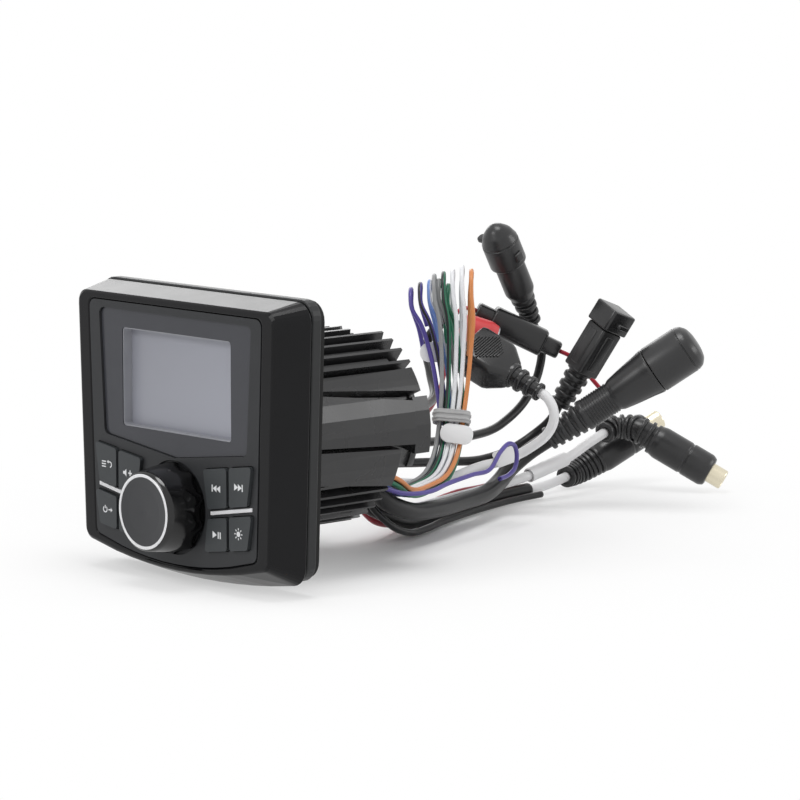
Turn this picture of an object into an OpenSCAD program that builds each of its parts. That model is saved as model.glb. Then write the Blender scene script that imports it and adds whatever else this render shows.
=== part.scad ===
// Marine stereo head unit with its wiring harness, in millimetres.
// The front faces -Y, +X is to the right seen from the front and +Z is up.
// The origin lies under the middle of the head unit, at the height of its lowest edge.

/* [Bezel] */
// Width of the front face at its top corners
face_top_w = 111; // [108:0.5:113]
// Width of the front face at its bottom corners
face_bottom_w = 104.5; // [102:0.5:106]
// Height of the front face above the window panel
face_over_panel = 5.8; // [5:0.1:7]
// Lowest point of the front face, at the middle of its curved bottom edge
face_bottom_z = 4.6; // [4:0.1:5.2]
// Rise of the front bottom edge from its middle to its corners
face_sag = 6.6; // [5:0.2:7.4]
// How much wider the bezel grows on each side towards the panel
bezel_flare = 4.2; // [3.4:0.2:5.4]
// How much the bezel grows at its top towards the panel
bezel_flare_top = 2.7; // [2:0.1:4]
// Depth of the bezel from the window panel's face to its rear edge
bezel_depth = 13.3; // [12.6:0.1:15]
// Thickness of the bezel wall
bezel_wall = 2.2; // [1.8:0.1:2.6]
// How far the bezel's front edge stands before the window panel
rim_proud = 1.1; // [0.8:0.1:1.4]
// Radius of the front corners
face_corner_r = 4.5; // [3:0.5:6]
// Radius of the rear corners
rear_corner_r = 7; // [5:0.5:9]

/* [Faceplate] */
// Border of the bezel beside the faceplate
border_side = 7.2; // [6.7:0.1:7.7]
// Border of the bezel above the faceplate
border_top = 3; // [2.6:0.1:3.4]
// Border of the bezel below the faceplate
border_bottom = 2.5; // [2.4:0.1:3]
// How far the faceplate stands before the window panel
plate_proud = 1; // [0.8:0.1:1.2]
// Thickness of the rear lip that holds the faceplate behind the bezel
plate_lip = 2; // [1.6:0.1:2.4]
// Width of the display window
screen_w = 61; // [58:0.5:63]
// Height of the display window
screen_h = 36.4; // [34:0.2:38]
// Height of the lower edge of the display window
screen_low_z = 54.8; // [54:0.1:56]
// Width of the window panel at its top
lens_w = 85.2; // [83:0.2:87]
// Height of the window panel above the display window
panel_over_screen = 6.5; // [5.5:0.1:7]
// Depth of the window panel below the display window, to its lowest point
panel_under_screen = 8.6; // [7.6:0.1:8.8]

/* [Controls] */
// Height of the knob axis
knob_z = 28; // [27.5:0.1:28.5]
// Radius of the knob at its base
knob_r = 16.8; // [16.2:0.1:17]
// Radius of the bright ring round the knob's front
ring_r = 13.75; // [13:0.05:14]
// Distance from the window panel's face to the front of the knob
knob_reach = 16; // [14:0.5:18]
// Number of finger flats round the knob
knob_flats = 10; // [8:1:12]
// How far the buttons stand before the window panel
button_proud = 2.4; // [1.5:0.1:3]
// Free gap round each button
button_gap = 0.3; // [0.25:0.05:0.4]
// Travel of a button
button_travel = 0.7; // [0.5:0.05:0.8]
// Travel of the knob when it is pressed
knob_travel = 0.5; // [0.3:0.05:0.6]

/* [Housing] */
// Thickness of the mounting flange
flange_t = 4.4; // [4:0.1:5.5]
// Thickness of the rubber gasket
gasket_t = 2; // [1.5:0.1:3]
// Distance from the window panel's face to the rear of the cover
unit_depth = 92; // [90:0.5:100]
// Height of the axis of the round housing
body_z = 51; // [50.5:0.1:51.5]
// Outer radius of the cooling fins
fin_r = 36.6; // [35:0.1:37]
// Thickness of a cooling fin
fin_t = 1.2; // [1:0.1:1.5]
// Outer radius of the housing's core
core_r = 30; // [29:0.1:31]
// Wall of the housing's core
core_wall = 3.4; // [2.8:0.1:4]
// Radius of the round collar that enters the panel's cut-out
collar_r = 37.7; // [37.2:0.1:37.9]
// Length of that collar behind the gasket
collar_len = 4; // [3:0.5:5]
// Diameter of the four mounting screw holes
mount_hole_d = 4.2; // [3.6:0.1:4.6]

/* [Harness] */
// Diameter of a thin wire
wire_d = 1.8; // [1.6:0.1:1.9]
// Diameter of a power wire
power_d = 2.8; // [2.4:0.1:3]
// Diameter of a white lead
lead_d = 4; // [3.6:0.1:4.2]
// Diameter of a thin black cable
cable_d = 3.6; // [3:0.1:4]
// Diameter of the black socket cable
socket_cable_d = 7; // [6:0.1:7.2]
// Diameter of the black sleeve on the floor
sleeve_d = 6; // [5.4:0.1:6.2]

/* [Hidden] */
$fn = 64;
eps = 0.01;

// Planes along the depth, from the front face to the rear.
face_y = -(unit_depth - knob_reach) / 2;
bezel_back_y = face_y + bezel_depth;
plate_y = face_y - plate_proud;
rim_y = face_y - rim_proud;
knob_floor_y = face_y + 0.4;
seat_y = face_y + bezel_wall;
plate_back_y = seat_y + plate_lip;
display_t = 3.3;
board_y = plate_back_y + display_t;
board_t = 1.6;
board_back_y = board_y + board_t;
bezel_gap = 0.3;
flange_y = bezel_back_y + bezel_gap;
flange_back_y = flange_y + flange_t;
gasket_back_y = flange_back_y + gasket_t;
rear_y = face_y + unit_depth;
cover_t = 3;
cover_y = rear_y - cover_t;
cheek_back_y = rear_y - 7.6;
web_back_y = rear_y - 8.5;
low_back_y = rear_y - 14;
button_y = face_y - button_proud;
knob_y = face_y - knob_reach;

// Heights upwards from the display window.
screen_z = screen_low_z + screen_h / 2;
lens_top_z = screen_low_z + screen_h + panel_over_screen;
lens_low_z = screen_low_z - panel_under_screen;
face_top_z = lens_top_z + face_over_panel;

// Half widths and heights of the bezel's rear edge.
rear_top_half = face_top_w / 2 + bezel_flare;
rear_bottom_half = face_bottom_w / 2 + bezel_flare - 0.6;
rear_top_z = face_top_z + bezel_flare_top;
rear_sag = 5;
edge_soft = 0.8;
flange_lift = 1;
gasket_inset = 0.9;

// The faceplate's outline follows the bezel's.
plate_top_half = face_top_w / 2 - border_side;
plate_bottom_half = face_bottom_w / 2 - border_side;
plate_top_z = face_top_z - border_top;
plate_bottom_z = face_bottom_z + border_bottom;
plate_corner_r = 3;
plate_clear = 0.25;
lip_over = 0.9;
cavity_inset = 1.4;

// The window panel narrows downwards and ends in a shallow point.
lens_low_half = lens_w / 2 - 2.7;
lens_low_corner_z = lens_low_z + 5;
lens_t = seat_y - face_y;
lens_corner_r = 2.6;
lens_clear = 0.15;
display_over = 3.5;

// Straight lines that bound the two rows of buttons: height at the middle, then slope.
row_top = [[41.55, 0.143], [23, 0.164]];
row_bottom = [[26.46, 0.166], [11.4, 0.145]];
key_border = 5.3;
key_out = plate_bottom_half - key_border;
key_lean = 0.09;
bar_line = [24.8, 0.172];
bar_t = 1.4;
bar_in = 20.3;
bar_out = key_out + 3.3;
bar_proud = 0.3;
column_split = (bar_in + key_out + 2.2) / 2;
column_gap = 0.7;
key_middle = [(bar_in + column_split) / 2 - 0.7, (column_split + key_out + 3.2) / 2];
inner_edge = [[17.6, 20], [20, 18.2]];
button_corner_r = 1.2;
stem_r = 2;
stem_len = 0.4;
switch_gap = button_travel + 0.3;

// Rotary encoder behind the knob.
encoder_w = 13;
bushing_r = 3.5;
shaft_r = 3;
shaft_clear = 0.06;
carrier_t = 0.8;
carrier_r = 5;
encoder_y = plate_back_y + 0.2;
encoder_floor = 0.8;
knob_lift = knob_travel + 0.5;
hub_inset = 2.4;
bushing_gap = 0.3;
bushing_front_y = knob_floor_y - knob_lift - hub_inset + knob_travel + bushing_gap;
ring_w = 1.15;
cap_dish = 0.6;
knob_clear = 0.5;

// Screw places: board posts, housing screws, cover screws and panel screws.
post_top = [plate_top_half - 8.3, plate_top_z - 8.5];
post_low = [13, plate_bottom_z + 3.9];
post_places = [[-post_top.x, post_top.y], post_top, [-post_low.x, post_low.y], post_low];
post_r = 2.5;
post_screw_r = 1.1;
body_screw_angles = [59, 120, 240, 301];
body_screw_ring = 32.6;
body_screw_r = 1.25;
cover_screw_angles = [45, 105, 255, 315];
screw_fit = 0.05;
screw_bite = 9;
body_bite = 5.4;
mount_x = rear_top_half - 12.2;
mount_top_z = face_top_z - 8.5;
mount_low_z = 16;
mount_places = [for (z = [mount_top_z, mount_low_z], x = [-mount_x, mount_x]) [x, z]];
cover_head_r = 2.1;
cover_head_t = 1.3;
cover_screw_ring = core_r - core_wall / 2;
cutout_r = 38.1;
gasket_hole_r = cutout_r + 0.7;
chassis_hole_r = 24;
cover_over = 0.6;
cover_gap = 0.1;

// Boards and parts inside the housing's bore.
bore_r = core_r - core_wall;
board_drop = 9;
board_side_gap = 1;
rail_z = body_z - board_drop;
rail_t = 1.6;
rail_h = 3;
rail_w = 2.8;
board_half = sqrt(bore_r * bore_r - board_drop * board_drop) - board_side_gap;
pad_z = body_z + bore_r - 8.6;
pad_half = 16;
amp_size = [24, 30, 5];
amp_y = flange_back_y + 10;
amp_pins = 8;
amp_pin_step = 3.4;
amp_pin_t = 1;
capacitor_r = 6;
capacitor_h = 14;
capacitor_x = 12;
capacitor_step = 17;
capacitor_y = flange_back_y + 16;
switch_w = 6;
switch_t = 1.4;
switch_tip_r = 1.7;
board_head_r = 2.1;
board_head_t = 1.4;
body_head_r = 2.6;
body_head_t = 1.6;

// Cooling fins: angles from the top, towards each side.
fin_step = 9.3;
fin_count = 5;
short_fins = 1;
cheek_r = 37.4;
// Side panels: angles of their upper and lower edges, first at the collar and then at the rear.
shoulder = [[55, 57], [51.2, 66.4]];
cheek = [[59.4, 91.3], [71.7, 97]];
low_block = [[94, 112.5], [99, 123]];
low_fin_angles = [118:8:174];
side_collar = [69.7, 103];
block_proud = 0.3;
// Behind the low block the housing ends at this height.
step_z = 36.5;
step_wall = 2;

// The harness leaves through an oblong grommet in the wall behind the low block.
grommet_half = 10;
grommet_z = 29;
grommet_r = 6.5;
grommet_neck_r = 5.2;
grommet_len = 5;
exit_y = low_back_y + grommet_len;

// Direction that the harness takes across the floor behind the unit: side and depth.
harness_turn = 47;
side_dir = [cos(harness_turn), sin(harness_turn), 0];
deep_dir = [-sin(harness_turn), cos(harness_turn), 0];
up_dir = [0, 0, 1];

// Plane geometry

function unit(v) = v / norm(v);

// Points of the arc that rounds the corner at b between a and c.
function corner(a, b, c, r, n = 6) =
    let (
        u = unit(a - b),
        w = unit(c - b),
        half = acos(u * w) / 2,
        middle = b + unit(u + w) * r / sin(half),
        from = b + u * r / tan(half) - middle,
        to = b + w * r / tan(half) - middle,
        start = atan2(from.y, from.x),
        turn = atan2(to.y, to.x) - start,
        sweep = turn > 180 ? turn - 360 : turn < -180 ? turn + 360 : turn
    )
    [for (i = [0:n]) middle + r * [cos(start + sweep * i / n), sin(start + sweep * i / n)]];

// A polygon with every corner rounded.
function rounded(pts, r, n = 6) =
    let (m = len(pts))
    [for (i = [0:m - 1]) each corner(pts[(i + m - 1) % m], pts[i], pts[(i + 1) % m], r, n)];

// Face outline: straight top, leaning sides and a bottom edge that bulges downwards.
function face_outline(top_half, bottom_half, top_z, bottom_z, sag, r) =
    let (
        steps = 12,
        low = [for (i = [0:steps]) let (k = 1 - 2 * i / steps) [k * bottom_half, bottom_z + sag * k * k]],
        left_top = [-top_half, top_z],
        right_top = [top_half, top_z]
    )
    concat(
        corner(low[steps], left_top, right_top, r),
        corner(left_top, right_top, low[0], r),
        corner(right_top, low[0], low[1], r),
        [for (i = [2:steps - 2]) low[i]],
        corner(low[steps - 1], low[steps], left_top, r)
    );

function front_outline(grow = 0) = face_outline(
    face_top_w / 2 + grow, face_bottom_w / 2 + grow, face_top_z + grow, face_bottom_z - grow,
    face_sag, face_corner_r
);

function rear_outline(grow = 0) = face_outline(
    rear_top_half + grow, rear_bottom_half + grow, rear_top_z + grow, -grow, rear_sag, rear_corner_r
);

function plate_outline(grow = 0) = face_outline(
    plate_top_half + grow, plate_bottom_half + grow, plate_top_z + grow, plate_bottom_z - grow,
    face_sag, plate_corner_r
);

function lens_outline(grow = 0) = rounded([
    [-lens_w / 2 - grow, lens_top_z + grow],
    [lens_w / 2 + grow, lens_top_z + grow],
    [lens_low_half + grow, lens_low_corner_z - grow],
    [0, lens_low_z - grow],
    [-lens_low_half - grow, lens_low_corner_z - grow],
], lens_corner_r);

function box_outline(w, h, z, r) = rounded([
    [-w / 2, z + h / 2], [w / 2, z + h / 2], [w / 2, z - h / 2], [-w / 2, z - h / 2],
], r);

// Height of a straight line, given as height and slope, at a distance from the middle.
function on_line(line, x) = line[0] + line[1] * x;

// Outline of a button: row 0 is above the light bar, column 0 is next to the knob.
function button_outline(row, column, grow = 0) =
    let (
        top = [row_top[row][0] + grow, row_top[row][1]],
        low = [row_bottom[row][0] - grow, row_bottom[row][1]],
        out_x = key_out + grow,
        x_top_in = column == 0 ? inner_edge[row][0] - grow : column_split + column_gap - grow,
        x_low_in = column == 0 ? inner_edge[row][1] - grow : column_split + column_gap - grow,
        x_top_out = column == 0 ? column_split - column_gap + grow : out_x + key_lean * 44 + 0.3,
        x_low_out = column == 0 ? column_split - column_gap + grow : out_x + key_lean * 20
    )
    rounded([
        [x_top_in, on_line(top, x_top_in)],
        [x_top_out, on_line(top, x_top_out)],
        [x_low_out, on_line(low, x_low_out)],
        [x_low_in, on_line(low, x_low_in)],
    ], button_corner_r, 4);

function button_middle(row, column) =
    let (x = key_middle[column])
    [x, (on_line(row_top[row], x) + on_line(row_bottom[row], x)) / 2];

// Solids along the depth

// Extrudes a plane shape drawn in X and Z from y0 to y1.
module slab(y0, y1) {
    translate([0, y1, 0]) rotate([90, 0, 0]) linear_extrude(y1 - y0) children();
}

module plate(points, y0, y1) {
    slab(y0, y1) polygon(points);
}

// A round rod along the depth.
module rod(x, z, r, y0, y1) {
    translate([x, y1, z]) rotate([90, 0, 0]) cylinder(r = r, h = y1 - y0);
}

// Turns a profile of radius and forward distance about an axis along the depth.
module turned(x, y, z, profile) {
    translate([x, y, z]) rotate([90, 0, 0]) rotate_extrude() polygon(profile);
}

// A radial rib on the housing: angle from the top towards +X.
module rib(angle, r0, r1, t, y0, y1) {
    translate([0, 0, body_z]) rotate([0, angle, 0]) translate([-t / 2, y0, r0]) cube([t, y1 - y0, r1 - r0]);
}

function ring_point(angle, r) = [r * sin(angle), body_z + r * cos(angle)];

// A block between two angles and two radii of the housing.
module sector(a0, a1, r0, r1, y0, y1) {
    steps = 4;
    outer = [for (i = [0:steps]) ring_point(a0 + (a1 - a0) * i / steps, r1)];
    inner = [for (i = [0:steps]) ring_point(a1 + (a0 - a1) * i / steps, r0)];
    plate(concat(outer, inner), y0, y1);
}

// Cuts a panel along an edge that goes from one angle at its front to another at its rear.
module lean_cut(front, back, r, y0, y1, keep) {
    far = 3 * r;
    lean = atan(2 * r * sin((back - front) / 2) / (y1 - y0));
    translate([0, (y0 + y1) / 2, body_z]) rotate([0, (front + back) / 2, 0]) rotate([0, 0, -lean])
        translate([keep > 0 ? -far : 0, -far / 2, 0]) cube([far, far, far]);
}

// A side panel whose edges lean: angles at its front and at its rear.
module panel(front, back, r0, r1, y0, y1) {
    difference() {
        sector(min(front[0], back[0]), max(front[1], back[1]), r0, r1, y0, y1);
        lean_cut(front[0], back[0], r1, y0, y1, 1);
        lean_cut(front[1], back[1], r1, y0, y1, -1);
    }
}

// Front of the unit

module bezel() {
    soft = front_outline(-edge_soft);
    front = front_outline();
    rear = rear_outline();
    color([0.19, 0.19, 0.2])
    difference() {
        hull() {
            plate(soft, rim_y, rim_y + eps);
            plate(front, rim_y + edge_soft, rim_y + edge_soft + eps);
            plate(rear, bezel_back_y - edge_soft, bezel_back_y);
        }
        hull() {
            plate(front_outline(-cavity_inset), seat_y, seat_y + eps);
            plate(rear_outline(-bezel_wall), bezel_back_y, bezel_back_y + 1);
        }
        plate(plate_outline(plate_clear), rim_y - 1, seat_y + 1);
    }
}

module faceplate() {
    color([0.27, 0.27, 0.28])
    difference() {
        union() {
            plate(plate_outline(), plate_y, seat_y);
            plate(plate_outline(lip_over), seat_y, plate_back_y);
            for (p = post_places) rod(p[0], p[1], post_r, plate_back_y - eps, board_y);
        }
        plate(lens_outline(lens_clear), plate_y - 1, seat_y);
        plate(box_outline(screen_w, screen_h, screen_z, 1.5), seat_y - 1, plate_back_y + 1);
        for (side = [0, 1], row = [0, 1], column = [0, 1])
            mirror([side, 0, 0])
                plate(button_outline(row, column, button_gap), plate_y - 1, plate_back_y + 1);
        for (side = [0, 1]) mirror([side, 0, 0]) light_bar(0.1, plate_y - 1, plate_back_y + 1);
        rod(0, knob_z, bushing_r + 0.3, plate_y - 1, plate_back_y + 1);
        rod(0, knob_z, knob_r + knob_clear, plate_y - 1, knob_floor_y);
        for (p = post_places) rod(p[0], p[1], post_screw_r + screw_fit, plate_back_y - 0.5, board_y + 1);
    }
}

module window_panel() {
    color([0.22, 0.22, 0.24])
    difference() {
        plate(lens_outline(), face_y, seat_y);
        plate(box_outline(screen_w, screen_h, screen_z, 1.5), face_y - 1, seat_y + 1);
    }
}

module display_module() {
    color([0.58, 0.58, 0.62])
    plate(
        box_outline(screen_w + 2 * display_over, screen_h + 2 * display_over, screen_z, 1),
        plate_back_y, board_y
    );
}

// One light bar on the right side of the knob.
module light_bar(grow, y0, y1) {
    low = [bar_line[0] - bar_t / 2 - grow, bar_line[1]];
    top = [bar_line[0] + bar_t / 2 + grow, bar_line[1]];
    x0 = bar_in - grow;
    x1 = bar_out + grow;
    plate(
        [[x0, on_line(low, x0)], [x1, on_line(low, x1)], [x1, on_line(top, x1)], [x0, on_line(top, x0)]],
        y0, y1
    );
}

module light_bars() {
    color([0.93, 0.93, 0.94])
    for (side = [0, 1]) mirror([side, 0, 0]) light_bar(0, plate_y - bar_proud, plate_back_y);
}

module button(side, row, column) {
    p = button_middle(row, column);
    color([0.23, 0.24, 0.25])
    mirror([side, 0, 0]) {
        plate(button_outline(row, column), button_y, plate_back_y);
        rod(p[0], p[1], stem_r, plate_back_y - eps, plate_back_y + stem_len);
    }
}

module knob_skirt() {
    back_y = knob_floor_y - knob_lift;
    depth = back_y - knob_y;
    inner = [[0, 0], [shaft_r, 0]];
    flat_cut = 44;
    color([0.05, 0.05, 0.055])
    difference() {
        turned(0, back_y, knob_z, [
            [shaft_r, hub_inset], [shaft_r + 2, hub_inset], [shaft_r + 2, depth - 5],
            [knob_r - 3, depth - 5],
            [knob_r - 2, 0], [knob_r - 0.6, 0], [knob_r, 0.6], [knob_r - 0.9, depth * 0.45],
            [ring_r + 0.7, depth - 0.8], [ring_r, depth - 0.2], [ring_r, depth - 1.8],
            [shaft_r, depth - 1.8],
        ]);
        for (i = [0:knob_flats - 1])
            translate([0, 0, knob_z]) rotate([0, (i + 0.5) * 360 / knob_flats, 0])
                rod(0, knob_r + flat_cut - 0.9, flat_cut, back_y - depth + 2.2, back_y + 1);
    }
}

module knob_ring() {
    depth = 1.6;
    color([0.93, 0.93, 0.94])
    turned(0, knob_y + depth + 0.2, knob_z, [
        [ring_r - ring_w, 0], [ring_r - eps, 0], [ring_r - eps, depth], [ring_r - 0.3, depth + 0.2],
        [ring_r - ring_w + 0.2, depth + 0.2], [ring_r - ring_w, depth],
    ]);
}

module knob_cap() {
    depth = 1.6;
    rim = ring_r - ring_w - eps;
    color([0.27, 0.27, 0.28])
    turned(0, knob_y + depth + 0.2, knob_z, [
        [0, 0], [rim, 0], [rim, depth], [rim * 0.7, depth - cap_dish * 0.5], [0, depth - cap_dish],
    ]);
}

module encoder_shaft() {
    color([0.75, 0.75, 0.76])
    rod(0, knob_z, shaft_r - eps, knob_y + 2, encoder_y + encoder_floor + 0.2);
}

module encoder_housing() {
    color([0.5, 0.5, 0.52])
    difference() {
        union() {
            slab(encoder_y, board_y) translate([-encoder_w / 2, knob_z - encoder_w / 2]) square(encoder_w);
            rod(0, knob_z, bushing_r, bushing_front_y, encoder_y + eps);
        }
        rod(0, knob_z, shaft_r + shaft_clear, bushing_front_y - 1, encoder_y + encoder_floor + eps);
        rod(0, knob_z, carrier_r + 0.3, encoder_y + encoder_floor, board_y + 1);
    }
}

module push_carrier() {
    y = encoder_y + encoder_floor + 0.25;
    color([0.85, 0.85, 0.8])
    rod(0, knob_z, carrier_r, y, y + carrier_t);
}

module key_switches() {
    w = switch_w;
    tip_y = plate_back_y + stem_len + switch_gap;
    color([0.15, 0.15, 0.16])
    for (side = [0, 1], row = [0, 1], column = [0, 1]) {
        p = button_middle(row, column);
        mirror([side, 0, 0]) {
            slab(board_y - switch_t, board_y) translate([p[0] - w / 2, p[1] - w / 2]) square(w);
            rod(p[0], p[1], switch_tip_r, tip_y, board_y - switch_t + eps);
        }
    }
}

module control_board() {
    color([0.1, 0.28, 0.16])
    difference() {
        plate(plate_outline(-1), board_y, board_back_y);
        for (p = post_places) rod(p[0], p[1], post_screw_r + screw_fit, board_y - 1, board_back_y + 1);
    }
}

// Housing behind the panel

module mounting_flange() {
    color([0.3, 0.3, 0.31])
    difference() {
        union() {
            translate([0, 0, flange_lift]) plate(rear_outline(-0.2), flange_y, flange_back_y);
            for (p = post_places) rod(p[0], p[1], post_r, board_back_y, flange_y + eps);
        }
        rod(0, body_z, chassis_hole_r, flange_y - 1, flange_back_y + 1);
        for (p = mount_places) rod(p[0], p[1], mount_hole_d / 2, flange_y - 1, flange_back_y + 1);
        for (p = post_places)
            rod(p[0], p[1], post_screw_r + screw_fit, board_back_y - 1, flange_back_y + 1);
        for (a = body_screw_angles) {
            p = ring_point(a, body_screw_ring);
            rod(p[0], p[1], body_screw_r + screw_fit, flange_y - 1, flange_back_y + 1);
        }
    }
}

module panel_gasket() {
    color([0.07, 0.07, 0.07])
    difference() {
        translate([0, 0, flange_lift]) plate(rear_outline(-gasket_inset), flange_back_y, gasket_back_y);
        rod(0, body_z, gasket_hole_r, flange_back_y - 1, gasket_back_y + 1);
        for (p = mount_places) rod(p[0], p[1], mount_hole_d / 2, flange_back_y - 1, gasket_back_y + 1);
        for (p = post_places) rod(p[0], p[1], post_r, flange_back_y - 1, gasket_back_y + 1);
    }
}

module heat_sink_housing() {
    root_r = core_r - 1;
    collar_back = gasket_back_y + collar_len;
    panel_y = collar_back - 1;
    block_back_y = low_back_y - 0.4;
    color([0.2, 0.2, 0.21])
    difference() {
        union() {
            rod(0, body_z, core_r, flange_back_y, cover_y);
            rod(0, body_z, collar_r, flange_back_y, collar_back);
            for (i = [-fin_count:fin_count]) {
                back = abs(i) <= short_fins ? rear_y - 12.5 : rear_y - 1;
                rib(i * fin_step, root_r, fin_r, fin_t, collar_back - eps, back);
                rib((i + 0.5) * fin_step, root_r, fin_r - 2.4, fin_t * 1.6, collar_back - eps, web_back_y);
            }
            for (s = [0, 1]) mirror([s, 0, 0]) {
                panel(shoulder[0], shoulder[1], root_r, fin_r, panel_y, rear_y - 2);
                panel(cheek[0], cheek[1], root_r, cheek_r, panel_y, cheek_back_y);
                panel(low_block[0], low_block[1], root_r, fin_r + block_proud, panel_y, block_back_y);
                for (a = low_fin_angles) rib(a, root_r, fin_r, fin_t, panel_y, block_back_y - 0.5);
            }
        }
        slab(low_back_y, rear_y + 1) translate([-fin_r - 1, 0]) square([2 * fin_r + 2, step_z]);
        hull() for (s = [-1, 1])
            rod(s * grommet_half, grommet_z, grommet_neck_r + 0.05,
                low_back_y - step_wall - 1, low_back_y + 1);
        difference() {
            rod(0, body_z, bore_r, flange_back_y - 1, cover_y + 1);
            slab(low_back_y - step_wall, rear_y + 1)
                translate([-bore_r - 1, 0]) square([2 * bore_r + 2, step_z + step_wall]);
            // Pad for the amplifier and two rails for the main board.
            slab(flange_back_y - 2, cover_y - 12)
                translate([-pad_half, pad_z]) square([2 * pad_half, bore_r]);
            for (s = [0, 1]) mirror([s, 0, 0])
                slab(flange_back_y - 2, cover_y - 8)
                    translate([board_half - rail_w, rail_z - rail_h])
                        square([bore_r - board_half + rail_w, rail_h]);
        }
        rod(0, body_z, core_r + cover_over + cover_gap, cover_y, rear_y + 1);
        for (a = body_screw_angles) {
            p = ring_point(a, body_screw_ring);
            rod(p[0], p[1], body_screw_r + screw_fit, flange_back_y - 1, flange_back_y + body_bite);
        }
        for (a = cover_screw_angles) {
            p = ring_point(a, cover_screw_ring);
            rod(p[0], p[1], post_screw_r + screw_fit, cover_y - screw_bite, cover_y + 1);
        }
    }
}

module rear_cover() {
    color([0.19, 0.19, 0.2])
    difference() {
        union() {
            rod(0, body_z, core_r + cover_over, cover_y, rear_y);
            for (s = [-1, 1])
                sector(s * side_collar[0], s * side_collar[1], core_r, cheek_r - 0.3, cheek_back_y, rear_y);
        }
        rod(0, body_z, core_r + 0.05, cheek_back_y - 1, cover_y);
        slab(cheek_back_y - 1, rear_y + 1) translate([-fin_r - 1, 0]) square([2 * fin_r + 2, step_z]);
        for (a = cover_screw_angles) {
            p = ring_point(a, cover_screw_ring);
            rod(p[0], p[1], post_screw_r + screw_fit, cover_y - 1, rear_y + 1);
            rod(p[0], p[1], cover_head_r + screw_fit, rear_y - cover_head_t, rear_y + 1);
        }
    }
}

module main_board() {
    color([0.1, 0.28, 0.16])
    slab(flange_back_y + 2, cover_y - 4) translate([-board_half, rail_z]) square([2 * board_half, rail_t]);
}

module amplifier_module() {
    low_z = pad_z - amp_size.z;
    color([0.12, 0.12, 0.13]) {
        slab(amp_y, amp_y + amp_size.y)
            translate([-amp_size.x / 2, low_z]) square([amp_size.x, amp_size.z]);
        for (i = [0:amp_pins - 1])
            slab(amp_y + amp_pin_step * (i + 0.5), amp_y + amp_pin_step * (i + 0.5) + amp_pin_t)
                translate([-amp_size.x / 4, rail_z + rail_t])
                    square([amp_pin_t, low_z - rail_z - rail_t + eps]);
    }
}

module capacitors() {
    color([0.16, 0.17, 0.3])
    for (i = [0:1])
        translate([capacitor_x, capacitor_y + i * capacitor_step, rail_z + rail_t])
            cylinder(r = capacitor_r, h = capacitor_h);
}

module screw(x, z, r, head_r, head_t, y_head, y_tip) {
    s = sign(y_tip - y_head);
    rod(x, z, r, min(y_head, y_tip), max(y_head, y_tip));
    rod(x, z, head_r, min(y_head, y_head - s * head_t), max(y_head, y_head - s * head_t));
}

module board_screws() {
    color([0.7, 0.7, 0.72])
    for (p = post_places)
        screw(p[0], p[1], post_screw_r, board_head_r, board_head_t, flange_back_y, plate_back_y + 0.4);
}

module housing_screws() {
    color([0.7, 0.7, 0.72])
    for (a = body_screw_angles) {
        p = ring_point(a, body_screw_ring);
        screw(p[0], p[1], body_screw_r, body_head_r, body_head_t,
            flange_y, flange_back_y + body_bite - 0.4);
    }
}

module cover_screws() {
    color([0.7, 0.7, 0.72])
    for (a = cover_screw_angles) {
        p = ring_point(a, cover_screw_ring);
        screw(p[0], p[1], post_screw_r, cover_head_r, cover_head_t,
            rear_y - cover_head_t, cover_y - screw_bite + 0.5);
    }
}

module harness_grommet() {
    color([0.06, 0.06, 0.06]) {
        hull() for (s = [-1, 1])
            rod(s * grommet_half, grommet_z, grommet_neck_r, low_back_y - step_wall, low_back_y + eps);
        hull() for (s = [-1, 1]) rod(s * grommet_half, grommet_z, grommet_r, low_back_y, exit_y);
    }
}

// Swept tubes

// A smooth curve through hand-set points: place and direction between two of them.
function curve_place(a, b, ta, tb, s) =
    let (h = norm(b - a))
    (2 * s * s * s - 3 * s * s + 1) * a + (s * s * s - 2 * s * s + s) * h * ta
        + (3 * s * s - 2 * s * s * s) * b + (s * s * s - s * s) * h * tb;
function curve_way(a, b, ta, tb, s) =
    let (h = norm(b - a))
    unit((6 * s * s - 6 * s) * (a - b) + (3 * s * s - 4 * s + 1) * h * ta + (3 * s * s - 2 * s) * h * tb);

// Direction of the curve at one of its points: the nearer neighbour counts more.
function way_at(p, i) =
    i == 0 ? unit(p[1] - p[0]) :
    i == len(p) - 1 ? unit(p[i] - p[i - 1]) :
    let (a = p[i] - p[i - 1], b = p[i + 1] - p[i])
    unit(unit(a) * norm(b) + unit(b) * norm(a));

function route(p, step) = concat(
    [for (i = [0:len(p) - 2])
        let (m = max(1, round(norm(p[i + 1] - p[i]) / step)))
        for (j = [0:m - 1]) [
            curve_place(p[i], p[i + 1], way_at(p, i), way_at(p, i + 1), j / m),
            curve_way(p[i], p[i + 1], way_at(p, i), way_at(p, i + 1), j / m),
        ]],
    [[p[len(p) - 1], way_at(p, len(p) - 1)]]
);

function first_side(t) = unit(cross(t, abs(t.z) < 0.9 ? [0, 0, 1] : [1, 0, 0]));

// Carries a side direction along the route without twisting it.
function sides_along(r, i = 0, last = [0, 0, 0], found = []) =
    i == len(r) ? found :
    let (
        t = r[i][1],
        side = i == 0 ? first_side(t) : unit(last - (last * t) * t)
    )
    sides_along(r, i + 1, side, concat(found, [side]));

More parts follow.
